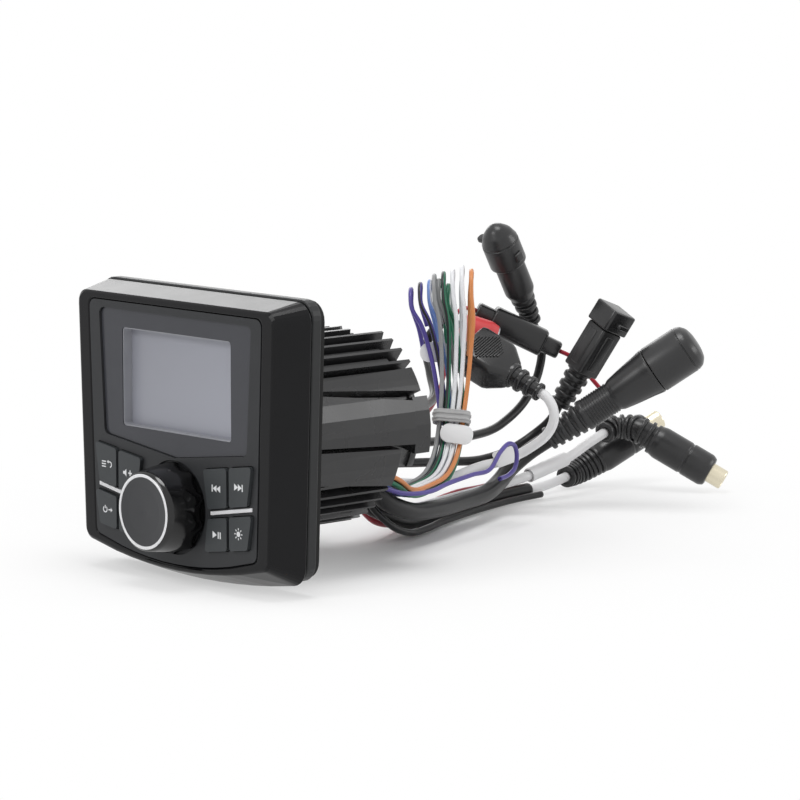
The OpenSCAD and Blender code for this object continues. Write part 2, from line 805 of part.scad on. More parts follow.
// A closed tube along a route, with one radius for each ring.
module tube(r, radii, corners) {
    n = len(r);
    side = sides_along(r);
    rings = [for (i = [0:n - 1]) for (k = [0:corners - 1])
        let (a = 360 * k / corners, u = side[i], v = cross(r[i][1], side[i]))
        r[i][0] + radii[i] * (cos(a) * u + sin(a) * v)];
    walls = [for (i = [0:n - 2]) for (k = [0:corners - 1])
        let (a = i * corners + k, b = i * corners + (k + 1) % corners)
        each [[a, a + corners, b], [b, a + corners, b + corners]]];
    start = [for (k = [1:corners - 2]) [0, k, k + 1]];
    end = [for (k = [1:corners - 2])
        [(n - 1) * corners, (n - 1) * corners + k + 1, (n - 1) * corners + k]];
    polyhedron(points = rings, faces = concat(walls, start, end), convexity = 6);
}

module cord(pts, d, corners = 8) {
    r = route(pts, 2.8 * d);
    tube(r, [for (q = r) d / 2], corners);
}

// Thin wires of the harness: two rows of five, folded over once and tied

wire_pitch = 2.3;
wire_rows = [-0.5, 0.5];

// Middle of the bundle, its spread, and the directions of its columns and rows.
bundle = [
    [[9, exit_y, 32.6], 1, [1, 0, 0], up_dir],
    [[9, exit_y + 4, 32.2], 1, [1, 0, 0], up_dir],
    [[8.6, 58, 28.4], 1, [1, 0.1, 0], unit([0, 0.45, 0.9])],
    [[3.5, 70, 22.3], 1, [0.95, 0.3, 0], unit([-0.1, 0.3, 0.95])],
    [[-4, 86, 21], 1, [0.85, 0.52, 0], unit(up_dir)],
    [[-12, 104, 23.5], 1, side_dir, unit(up_dir - 0.3 * deep_dir)],
    [[-18.5, 115, 30.5], 1, side_dir, unit(up_dir - deep_dir)],
    [[-22, 121, 43], 1, side_dir, unit(0.3 * up_dir - deep_dir)],
    [[-25, 124, 56], 1.1, side_dir, -deep_dir],
    [[-27.5, 125.5, 69], 1.25, side_dir, -deep_dir],
    [[-29.5, 125.5, 82], 1.45, side_dir, -deep_dir],
    [[-32, 125, 90], 1.55, side_dir, -deep_dir],
    [[-34, 126.5, 95.7], 1.6, side_dir, unit(up_dir - deep_dir)],
    [[-38, 130.5, 98], 1.6, side_dir, up_dir],
    [[-42, 134.5, 95.7], 1.6, side_dir, unit(up_dir + deep_dir)],
    [[-44, 136, 90], 1.55, side_dir, deep_dir],
    [[-43.5, 137.5, 78], 1.4, side_dir, deep_dir],
    [[-42, 137.5, 64], 1.3, side_dir, deep_dir],
];
// Extra height of each wire's fold, how far the rows drift apart, and how many points each wire keeps.
fold_rise = [[-5, -2], [-3, -1], [-2, 0], [-1.5, 1.5], [-3.5, 0]];
fold_share = [0, 0, 0, 0, 0, 0, 0, 0, 0, 0.2, 0.6, 1, 1, 1, 1, 1, 0.6, 0.2];
fold_drift = 4.6;
drift_share = [0, 0, 0, 0, 0, 0, 0, 0, 0.25, 0.5, 0.8, 1, 1, 1, 1, 1, 0.8, 0.6];
wire_stops = [[18, 17], [17, 18], [18, 17], [17, 18], [18, 18]];

function wire_route(column, row) = [
    for (k = [0:wire_stops[column][row] - 1])
        let (
            across = (column - 2) * wire_pitch * bundle[k][1]
                + 2 * wire_rows[row] * fold_drift * drift_share[k],
            beside = wire_rows[row] * wire_pitch,
            rise = fold_share[k] * fold_rise[column][row]
        )
        bundle[k][0] + across * bundle[k][2] + beside * bundle[k][3] + rise * up_dir
];

module wire(column, row) {
    cord(wire_route(column, row), wire_d);
}

// Least gap of a folded wire to itself, measured on its route's points.
function least_gap(pts, d) =
    let (r = route(pts, 2.8 * d))
    min([for (i = [0:len(r) - 1]) for (j = [i + 3:1:len(r) - 1]) norm(r[i][0] - r[j][0])]) - d;
echo(least_gap_of_folded_wire = min([for (c = [0:4], r = [0, 1]) least_gap(wire_route(c, r), wire_d)]));

module wires_white() {
    color([0.93, 0.93, 0.95]) {
        wire(2, 1);
        wire(3, 1);
    }
}

module wires_grey() {
    color([0.62, 0.63, 0.64]) {
        wire(0, 1);
        wire(3, 0);
    }
}

module wires_green() {
    color([0.1, 0.42, 0.3]) {
        wire(4, 0);
        wire(1, 1);
    }
}

purple_route = [
    [13.8, exit_y, 27.6], [14.2, exit_y + 4, 27.3], [15, 60, 24], [12.5, 76, 22.5], [7, 92, 23.5],
    [3, 108, 24.5],
    [-1, 122, 25], [-4.6, 131, 30.4], [-7.8, 139.5, 32.4], [-9.2, 143.5, 30.6], [-9.8, 145.1, 26.4],
    [-9.2, 143.5, 22.2], [-7.8, 139.5, 20.4], [-4.6, 130.5, 19.6],
];

module wires_violet() {
    color([0.36, 0.3, 0.62]) {
        wire(0, 0);
        wire(1, 0);
        cord(purple_route, wire_d);
    }
}

module wires_orange_blue() {
    color([0.88, 0.55, 0.3]) {
        wire(4, 1);
        wire(2, 0);
    }
}

// Turns local axes to a side, a row and a heading at a place on the harness.
module seated(p, u, t) {
    v = unit(cross(t, u));
    w = unit(cross(v, t));
    multmatrix([
        [w.x, v.x, t.x, p.x],
        [w.y, v.y, t.y, p.y],
        [w.z, v.z, t.z, p.z],
        [0, 0, 0, 1],
    ]) children();
}

// Puts local +Z along the line from p to q.
module along(p, q, u = [1, 0, 0]) {
    seated(p, u, unit(q - p)) children();
}

module wire_tie() {
    w = 5 * wire_pitch + 1.6;
    h = 2 * wire_pitch + 1.6;
    wall = 0.8;
    tall = 5;
    way = unit(bundle[8][0] - bundle[6][0]);
    color([0.7, 0.7, 0.71])
    seated(bundle[7][0] - way * tall / 2, side_dir, way)
    linear_extrude(tall) difference() {
        square([w + 2 * wall, h + 2 * wall], center = true);
        square([w, h], center = true);
    }
}

// Tags on the bundle: point of the bundle, share of the way to the next one, side offset, width, height,
// and 1 in front of the wires or -1 behind them.
tags = [[6, 0.45, 3, 13, 8, 1], [8, 0.95, -6, 12, 8, -1]];

module wire_tags() {
    tag_t = 0.5;
    stand_off = wire_pitch / 2 + wire_d / 2 + 0.6;
    color([0.95, 0.95, 0.95]) {
        for (g = tags) {
            a = bundle[g[0]][0];
            b = bundle[g[0] + 1][0];
            way = unit(b - a);
            seated(a + g[1] * (b - a) + g[2] * side_dir, side_dir, way)
                translate([-g[3] / 2, -g[5] * stand_off - tag_t / 2, -g[4] / 2]) cube([g[3], tag_t, g[4]]);
        }
        // A flag on the tuner lead.
        seated(tuner_lead_route[8], side_dir, way_at(tuner_lead_route, 8))
            translate([-3.5, -lead_d / 2 - 1.7, -5]) cube([7, tag_t, 10]);
    }
}

// Cords that lie on the floor or hang behind the unit

red_route = [
    [-7.2, exit_y, 26.4], [-7.2, exit_y + 4, 25.8], [-10.2, 59, 18], [-15, 72, 9], [-22, 87, 4.5],
    [-29, 101, 3],
    [-34, 111, 2.4], [-37, 124, 6.5], [-40, 140, 8.6], [-44, 158, 8.4], [-48, 174, 8.2], [-50, 190, 8.2],
];
black_route = [
    [2.6, exit_y, 24.6], [2.6, exit_y + 4, 24], [0.5, 60, 15], [-3, 72, 7.5], [-8.5, 86, 3],
    [-16, 102, 1.8],
    [-24, 118, 1.7], [-31, 136, 1.7], [-38, 158, 1.7], [-43, 178, 1.7], [-45, 194, 1.7],
];
fuse_feed_route = [
    [-8.2, exit_y, 33.6], [-8.2, exit_y + 4, 33.8], [-10, 58, 36], [-12.5, 68, 40], [-20, 86, 42.5],
    [-30, 104, 41],
    [-43, 124, 40], [-58, 147, 45], [-70, 164, 56], [-73.5, 170.8, 69], [-72.7, 171.8, 75.6],
    [-70.8, 173.9, 77.8],
    [-68.4, 176.7, 77.9], [-67.2, 178.1, 77],
];
sleeve_route = [
    [-2.4, exit_y + 0.3, 25.9], [-2.4, exit_y + 4, 25.2], [-6, 61, 16.8], [-9.5, 76, 10.5],
    [-16, 90, 6], [-22, 101, 4.2],
    [-28, 113, 3.4], [-35, 130, 3.3], [-42, 154, 3.2], [-48, 178, 3.2], [-50, 191, 3.2],
];
left_lead_route = [
    [2.4, exit_y, 28.8], [2.2, exit_y + 4, 28.2], [-2.2, 64, 20], [-11.5, 89, 12], [-24, 113, 9.6],
    [-33, 132, 8.5],
    [-39, 155, 8.5], [-41, 182, 11], [-41, 205, 16], [-42.5, 220, 21], [-43.5, 230, 24],
];
right_lead_route = [
    [-50, 191, 3.2], [-51, 197.5, 3.2], [-53.5, 209, 3.8], [-56, 220, 5],
];
tuner_lead_route = [
    [-2.3, exit_y, 31.6], [-2.3, exit_y + 4, 31.4], [-5, 60, 27.5], [-10.5, 77, 23.5],
    [-18, 95, 20], [-27, 115, 17],
    [-31, 132, 17.5], [-31, 146, 20], [-27, 156, 22], [-20.5, 163.5, 27], [-14.5, 167.5, 33.3],
    [-12, 168.2, 40],
    [-12.9, 167.8, 44.4], [-15.5, 166.8, 47.9], [-18.4, 165.7, 49.5],
];
remote_cable_route = [
    [-11, exit_y, 26.9], [-11, exit_y + 4, 26.9], [-14, 62, 27.5], [-20, 84, 28.5], [-27, 107, 26],
    [-34, 132, 23], [-39.5, 156, 21], [-42, 174, 23], [-40.5, 184, 27.5], [-36.2, 190.5, 34.1],
    [-33, 193, 41],
];
antenna_cable_route = [
    [-11.5, exit_y, 31.3], [-11.5, exit_y + 4, 31.6], [-15, 63, 34], [-20, 83, 35.5],
    [-29, 104, 33.5], [-39, 128, 31],
    [-49, 156, 29], [-56, 182, 31], [-58.5, 198.5, 39.5], [-60.5, 208, 50.5], [-61.2, 210.2, 58.5],
    [-60.9, 207.6, 65.1], [-60, 203, 72],
];
red_cable_route = [
    [-6.6, exit_y, 30.7], [-6.6, exit_y + 4, 30.9], [-7, 58, 34], [-8, 68, 41], [-13, 84, 47],
    [-24, 102, 48],
    [-37, 120, 46], [-51, 139, 48], [-64, 149, 55], [-71.3, 154.3, 64.6], [-70.3, 155.8, 69.7],
    [-67.4, 158.9, 73],
    [-64, 162.8, 73.3], [-62.6, 164.4, 72.5],
];
socket_cable_route = [
    [8.3, exit_y + 0.2, 26.3], [8.3, exit_y + 4, 26], [7, 60, 19.5], [3.5, 75, 14], [-3, 94, 12],
    [-13, 118, 11],
    [-23, 142, 11], [-30.5, 156, 13], [-34.5, 167, 17.5], [-33, 175.5, 22.9], [-27, 181, 28.4],
];

// Where a route ends, and the direction in which it ends.
function last(p) = p[len(p) - 1];
function last_way(p) = way_at(p, len(p) - 1);

// The fuse's outgoing wire starts straight out of the holder.
fuse_len = 38;
fuse_to = last(fuse_feed_route) + fuse_len * last_way(fuse_feed_route);
fuse_tail_route = [
    fuse_to, fuse_to + 6 * last_way(fuse_feed_route), [-35, 213, 49], [-30, 215, 42], [-29, 212, 34],
];

module power_wires() {
    color([0.75, 0.1, 0.14]) cord(red_route, power_d);
    color([0.08, 0.08, 0.08]) cord(black_route, power_d);
    color([0.75, 0.1, 0.14]) cord(fuse_feed_route, wire_d);
    color([0.75, 0.1, 0.14]) cord(fuse_tail_route, wire_d);
}

module white_leads() {
    color([0.93, 0.93, 0.93]) {
        cord(left_lead_route, lead_d);
        cord(right_lead_route, lead_d);
        cord(tuner_lead_route, lead_d);
    }
}

module cable_sleeve() {
    color([0.1, 0.1, 0.1]) cord(sleeve_route, sleeve_d);
}

module black_cables() {
    color([0.08, 0.08, 0.08]) {
        cord(remote_cable_route, cable_d);
        cord(antenna_cable_route, cable_d);
        cord(red_cable_route, cable_d);
    }
}

module socket_cable() {
    color([0.08, 0.08, 0.08]) cord(socket_cable_route, socket_cable_d, 10);
}

// Connectors on the harness

// Profile of a ribbed strain relief: from the small end to the large end.
function ribbed(r0, r1, h, ribs, groove) = concat(
    [[0, 0], [r0, 0]],
    [for (i = [0:ribs - 1])
        let (a = h * (i + 0.5) / ribs, r = r0 + (r1 - r0) * (i + 0.5) / ribs, w = h / ribs / 4)
        each [[r, a - w], [r - groove, a - w * 0.6], [r - groove, a + w * 0.6], [r, a + w]]],
    [[r1, h], [0, h]]
);

module turned_up(profile) {
    rotate_extrude() polygon(profile);
}

data_from = last(socket_cable_route);
data_len = 71;
data_to = data_from + data_len * last_way(socket_cable_route);
data_cap_len = 21;
data_body_len = data_len - data_cap_len;
data_r = 9.9;
data_neck_r = 6.2;

module data_socket() {
    relief = 17;
    neck = 31;
    color([0.11, 0.11, 0.11])
    along(data_from, data_to) {
        turned_up(ribbed(4.4, data_neck_r + 0.2, relief, 5, 0.9));
        translate([0, 0, relief - eps]) turned_up([
            [0, 0], [data_neck_r, 0], [data_neck_r, neck - relief - 5],
            [data_neck_r + 0.6, neck - relief],
            [data_r - 1, data_body_len - relief - 5], [data_r - 0.1, data_body_len - relief - 1],
            [data_r - 0.1, data_body_len - relief + eps], [0, data_body_len - relief + eps],
        ]);
    }
}

module data_socket_cap() {
    h = data_cap_len;
    color([0.1, 0.1, 0.1])
    along(data_from, data_to) translate([0, 0, data_body_len + 0.3]) turned_up([
        [0, 0], [data_r, 0], [data_r, h - 6], [data_r - 0.8, h - 3.2], [data_r - 3, h - 1.2],
        [data_r - 6, h - 0.4], [0, h - 0.3],
    ]);
}

tuner_from = last(tuner_lead_route);
tuner_way = last_way(tuner_lead_route);

module tuner_plug() {
    boot_len = 13;
    body = [21, 13];
    body_len = 22;
    color([0.1, 0.1, 0.105])
    seated(tuner_from, unit(0.8 * deep_dir + 0.6 * up_dir), tuner_way) {
        turned_up(ribbed(3.6, 5.4, boot_len, 4, 0.9));
        translate([0, 0, boot_len - eps]) hull() {
            linear_extrude(0.1) square([12, 10], center = true);
            translate([0, 0, 7]) linear_extrude(0.1) square(body, center = true);
            translate([0, 0, body_len]) linear_extrude(0.1) square(body, center = true);
        }
    }
}

remote_from = last(remote_cable_route);
remote_len = 45;
remote_to = remote_from + remote_len * last_way(remote_cable_route);
remote_cap_len = 9;
remote_w = 11;

module remote_plug() {
    boot = 16;
    color([0.1, 0.1, 0.1])
    along(remote_from, remote_to) {
        turned_up(ribbed(4.4, 5.4, boot, 4, 0.9));
        translate([0, 0, boot - eps]) linear_extrude(remote_len - remote_cap_len - boot)
            square(remote_w, center = true);
    }
}

module remote_plug_cap() {
    wall = 1;
    color([0.09, 0.09, 0.09])
    along(remote_from, remote_to) translate([0, 0, remote_len - remote_cap_len + 0.3]) {
        linear_extrude(remote_cap_len) square(remote_w + 2 * wall, center = true);
        translate([remote_w / 2, -3, 3]) cube([4, 6, 2]);
    }
}

antenna_from = last(antenna_cable_route);
antenna_len = 50;
antenna_to = antenna_from + antenna_len * last_way(antenna_cable_route);
antenna_cap_len = 20;
antenna_r = 6.2;

module antenna_socket() {
    boot = 12;
    color([0.1, 0.1, 0.1])
    along(antenna_from, antenna_to) {
        turned_up(ribbed(3.4, 4.8, boot, 3, 0.8));
        translate([0, 0, boot - eps]) turned_up([
            [0, 0], [4.8, 0], [antenna_r, 4], [antenna_r, antenna_len - antenna_cap_len - boot],
            [0, antenna_len - antenna_cap_len - boot],
        ]);
    }
}

module antenna_cap() {
    r = antenna_r + 1.5;
    h = antenna_cap_len;
    color([0.09, 0.09, 0.09])
    along(antenna_from, antenna_to) translate([0, 0, antenna_len - h + 0.3]) {
        turned_up([
            [0, 0], [r, 0], [r, 11], [r - 0.4, 11.2], [r - 0.6, 13], [r - 2.2, 16.4],
            [r - 4.6, 18.4], [0, h],
        ]);
        translate([-r - 4, -2, 10]) cube([5, 4, 2]);
        translate([r - 0.8, -2, 3]) cube([1.8, 4, 4]);
    }
}

module fuse_holder() {
    len_all = fuse_len;
    stub = 7;
    color([0.1, 0.1, 0.1])
    along(last(fuse_feed_route), fuse_to, deep_dir) {
        linear_extrude(stub + eps) square([7.6, 7.6], center = true);
        translate([0, 0, stub]) linear_extrude(len_all - 2 * stub) square([10, 11], center = true);
        translate([0, 0, len_all - stub - eps]) linear_extrude(stub + eps) square([7, 7], center = true);
    }
}

module red_jack() {
    color([0.82, 0.2, 0.22])
    seated(last(red_cable_route), [1, 0, 0], last_way(red_cable_route)) turned_up([
        [0, 0], [4.5, 0], [5.8, 3], [6.2, 12], [5.2, 15.5], [4.2, 15.5], [4.2, 8], [0, 8],
    ]);
}

// Moulded audio jacks with curved boots
left_boot = [
    last(left_lead_route), last(left_lead_route) + 5 * last_way(left_lead_route),
    [-40, 240.5, 25.4], [-36, 241.5, 25], [-30, 245.5, 21],
];
right_boot = [
    last(right_lead_route), last(right_lead_route) + 5 * last_way(right_lead_route),
    [-56.6, 230.5, 7.4], [-54.6, 236.5, 10.7],
];
jack_r = 7;
jack_len = 27;

module boot(pts) {
    r = route(pts, 1.7);
    n = len(r) - 1;
    tube(r, [for (i = [0:n]) 4.2 + 2.2 * i / n - (i % 3 == 1 && i < n ? 0.9 : 0)], 12);
}

module jack(pts) {
    boot(pts);
    seated(last(pts), [1, 0, 0], last_way(pts)) turned_up([
        [0, -eps], [6.4, -eps], [jack_r, 3], [jack_r, jack_len - 2], [jack_r - 1, jack_len],
        [0, jack_len],
    ]);
}

module audio_jack_left() {
    color([0.11, 0.11, 0.11]) jack(left_boot);
}

module audio_jack_right() {
    color([0.11, 0.11, 0.11]) jack(right_boot);
}

// Puts its children at the open end of each jack.
module at_jack_ends() {
    for (b = [left_boot, right_boot])
        seated(last(b) + jack_len * last_way(b), [1, 0, 0], last_way(b)) children();
}

module jack_insulators() {
    color([0.92, 0.88, 0.72])
    at_jack_ends() turned_up([[2, 0], [3.4, 0], [3.4, 4], [2, 4]]);
}

module jack_contacts() {
    color([0.72, 0.56, 0.26])
    at_jack_ends() turned_up([[3.45, 0], [4.2, 0], [4.2, 6.5], [3.45, 6.5]]);
}

// White sleeves over the leads
module lead_sleeves() {
    from = left_lead_route[7];
    to = left_lead_route[8];
    gap = 0.35;
    h = norm(to - from) - 2;
    color([0.96, 0.96, 0.96])
    along(from, to) translate([0, 0, 1]) turned_up([
        [lead_d / 2 + gap, 0], [lead_d / 2 + gap + 0.6, 0], [lead_d / 2 + gap + 0.6, h],
        [lead_d / 2 + gap, h],
    ]);
}

bezel();
faceplate();
window_panel();
display_module();
light_bars();
button(1, 0, 1);  // button_menu
button(1, 0, 0);  // button_bass_up
button(1, 1, 1);  // button_source
button(1, 1, 0);  // button_bass_down
button(0, 0, 0);  // button_previous
button(0, 0, 1);  // button_next
button(0, 1, 0);  // button_play
button(0, 1, 1);  // button_dimmer
knob_skirt();
knob_ring();
knob_cap();
encoder_shaft();
encoder_housing();
push_carrier();
key_switches();
control_board();
mounting_flange();
panel_gasket();
heat_sink_housing();
rear_cover();
main_board();
amplifier_module();
capacitors();
board_screws();
housing_screws();
cover_screws();
harness_grommet();
wires_white();
wires_grey();
wires_green();
wires_violet();
wires_orange_blue();
wire_tie();
wire_tags();
power_wires();
white_leads();
lead_sleeves();
cable_sleeve();
black_cables();
socket_cable();
data_socket();
data_socket_cap();
tuner_plug();
remote_plug();
remote_plug_cap();
antenna_socket();
antenna_cap();
fuse_holder();
red_jack();
audio_jack_left();
audio_jack_right();
jack_insulators();
jack_contacts();
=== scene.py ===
# %% [markdown]
# # A flush-mount marine stereo and its wiring harness
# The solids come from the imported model, so every piece below goes where they are, in metres.
# The lesson dresses them: first the camera, then the finishes and the cords, then each piece.

# %% Load the frame
import math
import bmesh
import bpy
from mathutils import Matrix, Vector


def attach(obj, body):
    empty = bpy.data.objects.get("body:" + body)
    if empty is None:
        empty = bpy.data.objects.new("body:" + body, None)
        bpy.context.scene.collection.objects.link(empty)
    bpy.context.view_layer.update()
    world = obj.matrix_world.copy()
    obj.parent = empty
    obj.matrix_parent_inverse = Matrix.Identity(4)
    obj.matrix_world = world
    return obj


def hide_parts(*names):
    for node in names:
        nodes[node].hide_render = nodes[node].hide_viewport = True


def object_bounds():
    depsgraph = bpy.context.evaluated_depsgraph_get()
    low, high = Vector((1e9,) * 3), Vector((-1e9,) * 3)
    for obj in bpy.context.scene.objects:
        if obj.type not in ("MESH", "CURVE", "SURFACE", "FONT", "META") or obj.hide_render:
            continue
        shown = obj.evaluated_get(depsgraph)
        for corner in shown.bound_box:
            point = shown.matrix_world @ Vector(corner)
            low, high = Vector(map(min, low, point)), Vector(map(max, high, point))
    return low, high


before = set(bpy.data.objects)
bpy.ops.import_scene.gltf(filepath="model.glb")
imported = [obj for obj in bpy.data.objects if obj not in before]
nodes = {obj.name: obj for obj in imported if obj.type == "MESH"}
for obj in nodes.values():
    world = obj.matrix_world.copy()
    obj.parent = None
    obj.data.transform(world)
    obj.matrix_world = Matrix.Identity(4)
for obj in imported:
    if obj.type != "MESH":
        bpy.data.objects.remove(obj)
cad_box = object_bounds()
scene = bpy.context.scene
MM = 0.001
UNIT = "unit"
print("loaded", len(nodes), "solids")

# %% [markdown]
# ## Camera
# The photograph was taken from far off with a long lens, because the sides hardly converge.
# A 180 mm lens on a 36 mm sensor gives that flat look. The place was fitted to the corners of the face.
# The camera's own sideways and inward directions are kept, because the wires spread along them.

# %% Camera
AZIMUTH = math.radians(47.0)
ELEVATION = math.radians(7.86)
CAMERA_PLACE = (1.1031, -0.9559, 0.2650)
RIGHT, UP = Vector((1, 0, 0)), Vector((0, 0, 1))
SIDE = Vector((math.cos(AZIMUTH), math.sin(AZIMUTH), 0))
DEEP = Vector((-math.sin(AZIMUTH), math.cos(AZIMUTH), 0))
camera_data = bpy.data.cameras.new("photo_camera")
camera_data.lens = 180.0
camera_data.sensor_width = 36.0
camera_data.clip_end = 30.0
camera = bpy.data.objects.new("photo_camera", camera_data)
scene.collection.objects.link(camera)
camera.location = CAMERA_PLACE
looking = math.cos(ELEVATION) * DEEP - math.sin(ELEVATION) * UP
camera.rotation_euler = looking.to_track_quat("-Z", "Y").to_euler()
scene.camera = camera
scene.view_settings.view_transform = "Standard"
print("camera at", tuple(camera.location))

# %% [markdown]
# ## Node helpers
# Every finish and every repeated shape below is a node tree. Written out, each node takes several
# lines, so one helper makes a node and fills its inputs, with plain values or with the outputs of
# other nodes.


# %% Node helpers
def add_node(tree, kind, inputs=None, **settings):
    """A node with its settings. An input is a value, or another node's output to link."""
    node = tree.nodes.new(kind)
    for name, value in settings.items():
        setattr(node, name, value)
    for socket, value in (inputs or {}).items():
        if isinstance(value, bpy.types.NodeSocket):
            tree.links.new(value, node.inputs[socket])
        else:
            node.inputs[socket].default_value = value
    return node


def reckon(tree, operation, *values):
    """The output of a Math node on values or outputs."""
    return add_node(tree, "ShaderNodeMath", dict(enumerate(values)), operation=operation).outputs[0]


def start_tree(kind, name, inputs, outputs):
    """An empty tree with named sockets, as (label, kind) or (label, kind, default value)."""
    tree = bpy.data.node_groups.new(name, kind)
    for label, socket, *default in inputs:
        made = tree.interface.new_socket(label, in_out="INPUT", socket_type="NodeSocket" + socket)
        for value in default:
            made.default_value = value
    for label, socket in outputs:
        tree.interface.new_socket(label, in_out="OUTPUT", socket_type="NodeSocket" + socket)
    return tree, tree.nodes.new("NodeGroupInput").outputs, tree.nodes.new("NodeGroupOutput").inputs


print("node helpers ready")


# %% [markdown]
# ## Shared finishes
# Moulded plastic is never one flat colour: it has a fine spark-eroded grain and slow changes of tone.
# Both come from noise on Object coordinates, so one node group serves every plastic, rubber and casting.
# A second group draws faint wiping marks, which show only as changes of gloss.


# %% Node groups
PATTERN_INPUTS = [("Vector", "Vector"), ("Scale", "Float")]
MOTTLE_SHARE = 0.045


def build_grain_group():
    outputs = [("Mottle", "Float"), ("Grain", "Float")]
    group, given, result = start_tree("ShaderNodeTree", "moulded_grain", PATTERN_INPUTS, outputs)
    place, scale = given["Vector"], given["Scale"]
    slower = reckon(group, "MULTIPLY", scale, MOTTLE_SHARE)
    for label, size, detail in (("Mottle", slower, 3.0), ("Grain", scale, 2.0)):
        noise = add_node(group, "ShaderNodeTexNoise", {"Vector": place, "Scale": size, "Detail": detail})
        group.links.new(noise.outputs["Fac"], result[label])
    return group


def build_wipe_group():
    outputs = [("Marks", "Float")]
    group, given, result = start_tree("ShaderNodeTree", "wiping_marks", PATTERN_INPUTS, outputs)
    stretch = add_node(group, "ShaderNodeMapping", {
        "Vector": given["Vector"], "Rotation": (0.3, 0.5, 0.9), "Scale": (1.0, 0.16, 1.0),
    })
    noise = add_node(group, "ShaderNodeTexNoise", {
        "Vector": stretch.outputs["Vector"], "Scale": given["Scale"], "Detail": 4.0,
    })
    marks = add_node(group, "ShaderNodeMapRange", {
        "Value": noise.outputs["Fac"], "From Min": 0.42, "From Max": 0.7,
    })
    group.links.new(marks.outputs["Result"], result["Marks"])
    return group


grain_group = build_grain_group()
wipe_group = build_wipe_group()
print("groups:", grain_group.name, wipe_group.name)

# %% [markdown]
# ## One recipe for moulded and coated finishes
# Each finish gets two near tones, a range of roughness, and a grain size. Constant values, such as
# specular level, are set straight on the shader, so that they survive an export.
# The dark screen is the exception: it has no mottle and is evenly smooth. Its grey is partly its own
# tone and partly a painted reflection of the room, and it is a little paler towards the lower right, a
# painted slope of light over its width and height.


# %% Finish recipe
GRAIN_STRENGTH = 0.6


def srgb(red, green, blue):
    """A screen colour from 0 to 255 as the linear colour that the shader takes."""
    def linear(value):
        share = value / 255
        return share / 12.92 if share <= 0.04045 else ((share + 0.055) / 1.055) ** 2.4
    return (linear(red), linear(green), linear(blue), 1.0)


def mixed(tree, share, first, second):
    """The colour between two others, which are colours or outputs."""
    inputs = {"Factor": share, "A": first, "B": second}
    return add_node(tree, "ShaderNodeMix", inputs, data_type="RGBA").outputs["Result"]


def finish(name, dark, light, rough, grain=1800.0, depth=0.02, specular=0.35, metallic=0.0, marks=0.0,
           painted_light_slope=None):
    """Tones are screen colours, rough is one value or (least, most), and depth is the grain's, in mm."""
    material = bpy.data.materials.new(name)
    material.use_nodes = True
    tree = material.node_tree
    link = tree.links.new
    shader = tree.nodes["Principled BSDF"].inputs
    shader["Specular IOR Level"].default_value = specular
    shader["Metallic"].default_value = metallic
    place = add_node(tree, "ShaderNodeTexCoord").outputs["Object"]
    pattern = add_node(
        tree, "ShaderNodeGroup", {"Vector": place, "Scale": grain}, node_tree=grain_group).outputs
    share = pattern["Mottle"]
    # Painted light: the tone grows paler along one direction, where lamps would light a surface more.
    if painted_light_slope:
        direction, offset = painted_light_slope
        along = add_node(tree, "ShaderNodeVectorMath", {0: place, 1: direction}, operation="DOT_PRODUCT")
        share = reckon(tree, "ADD", along.outputs["Value"], offset)
    link(mixed(tree, share, srgb(*dark), srgb(*light)), shader["Base Color"])
    if isinstance(rough, tuple):
        gloss = pattern["Mottle"]
        if marks:
            wiped = add_node(
                tree, "ShaderNodeGroup", {"Vector": place, "Scale": marks}, node_tree=wipe_group)
            gloss = wiped.outputs["Marks"]
        least, most = rough
        ranged = add_node(tree, "ShaderNodeMapRange", {"Value": gloss, "To Min": least, "To Max": most})
        link(ranged.outputs["Result"], shader["Roughness"])
    else:
        shader["Roughness"].default_value = rough
    bump = add_node(tree, "ShaderNodeBump", {
        "Height": pattern["Grain"], "Strength": GRAIN_STRENGTH, "Distance": depth * MM,
    })
    link(bump.outputs["Normal"], shader["Normal"])
    return material


def cool(level, blue=1):
    """A grey with a trace more blue, as black plastics have under daylight lamps."""
    return (level, level, level + blue)


# Painted light on the screen: its tone grows paler towards the lower right.
SCREEN_PAINTED_LIGHT_SLOPE = ((6.0, 0.0, -8.0), 1.08)
bezel_satin = finish("bezel_satin", cool(15, 2), cool(20, 2), (0.18, 0.26), depth=0.008, specular=0.19)
face_satin = finish("face_satin", (46, 47, 49), (52, 53, 55), (0.34, 0.44), specular=0.22)
window_gloss = finish("window_gloss", (62, 63, 68), (67, 68, 73), (0.16, 0.2), depth=0.002, specular=0.28)
# The screen's grey is partly its own tone and partly a painted reflection of the bright room.
screen_grey_and_painted_reflection = finish(
    "screen_grey_and_painted_reflection", (138, 139, 147), (166, 168, 178), 0.28, grain=300, depth=0.001, specular=0.4,
    painted_light_slope=SCREEN_PAINTED_LIGHT_SLOPE)
screen_wall = finish("screen_wall", (150, 151, 157), (168, 169, 174), (0.25, 0.4), depth=0.005)
light_white = finish("light_white", cool(222, 2), cool(234, 2), (0.3, 0.4), depth=0.004)
key_rubber = finish("key_rubber", (56, 59, 61), (62, 65, 67), (0.36, 0.46), specular=0.3)
knob_gloss = finish("knob_gloss", cool(10), cool(15), (0.1, 0.22), depth=0.003, specular=0.5, marks=70)
knob_satin = finish(
    "knob_satin", (38, 39, 42), (52, 53, 56), (0.28, 0.36), grain=600, depth=0.002, specular=0.4)
ring_bright = finish("ring_bright", cool(226, 2), cool(240, 2), (0.16, 0.26), depth=0.003, specular=0.6)
screw_steel = finish("screw_steel", cool(150, 3), cool(178, 2), (0.22, 0.4), depth=0.01, metallic=1.0)
inner_plastic = finish("inner_plastic", cool(28), cool(36), (0.4, 0.55))
board_green = finish("board_green", (22, 66, 40), (32, 84, 52), (0.3, 0.45), grain=900, depth=0.03)
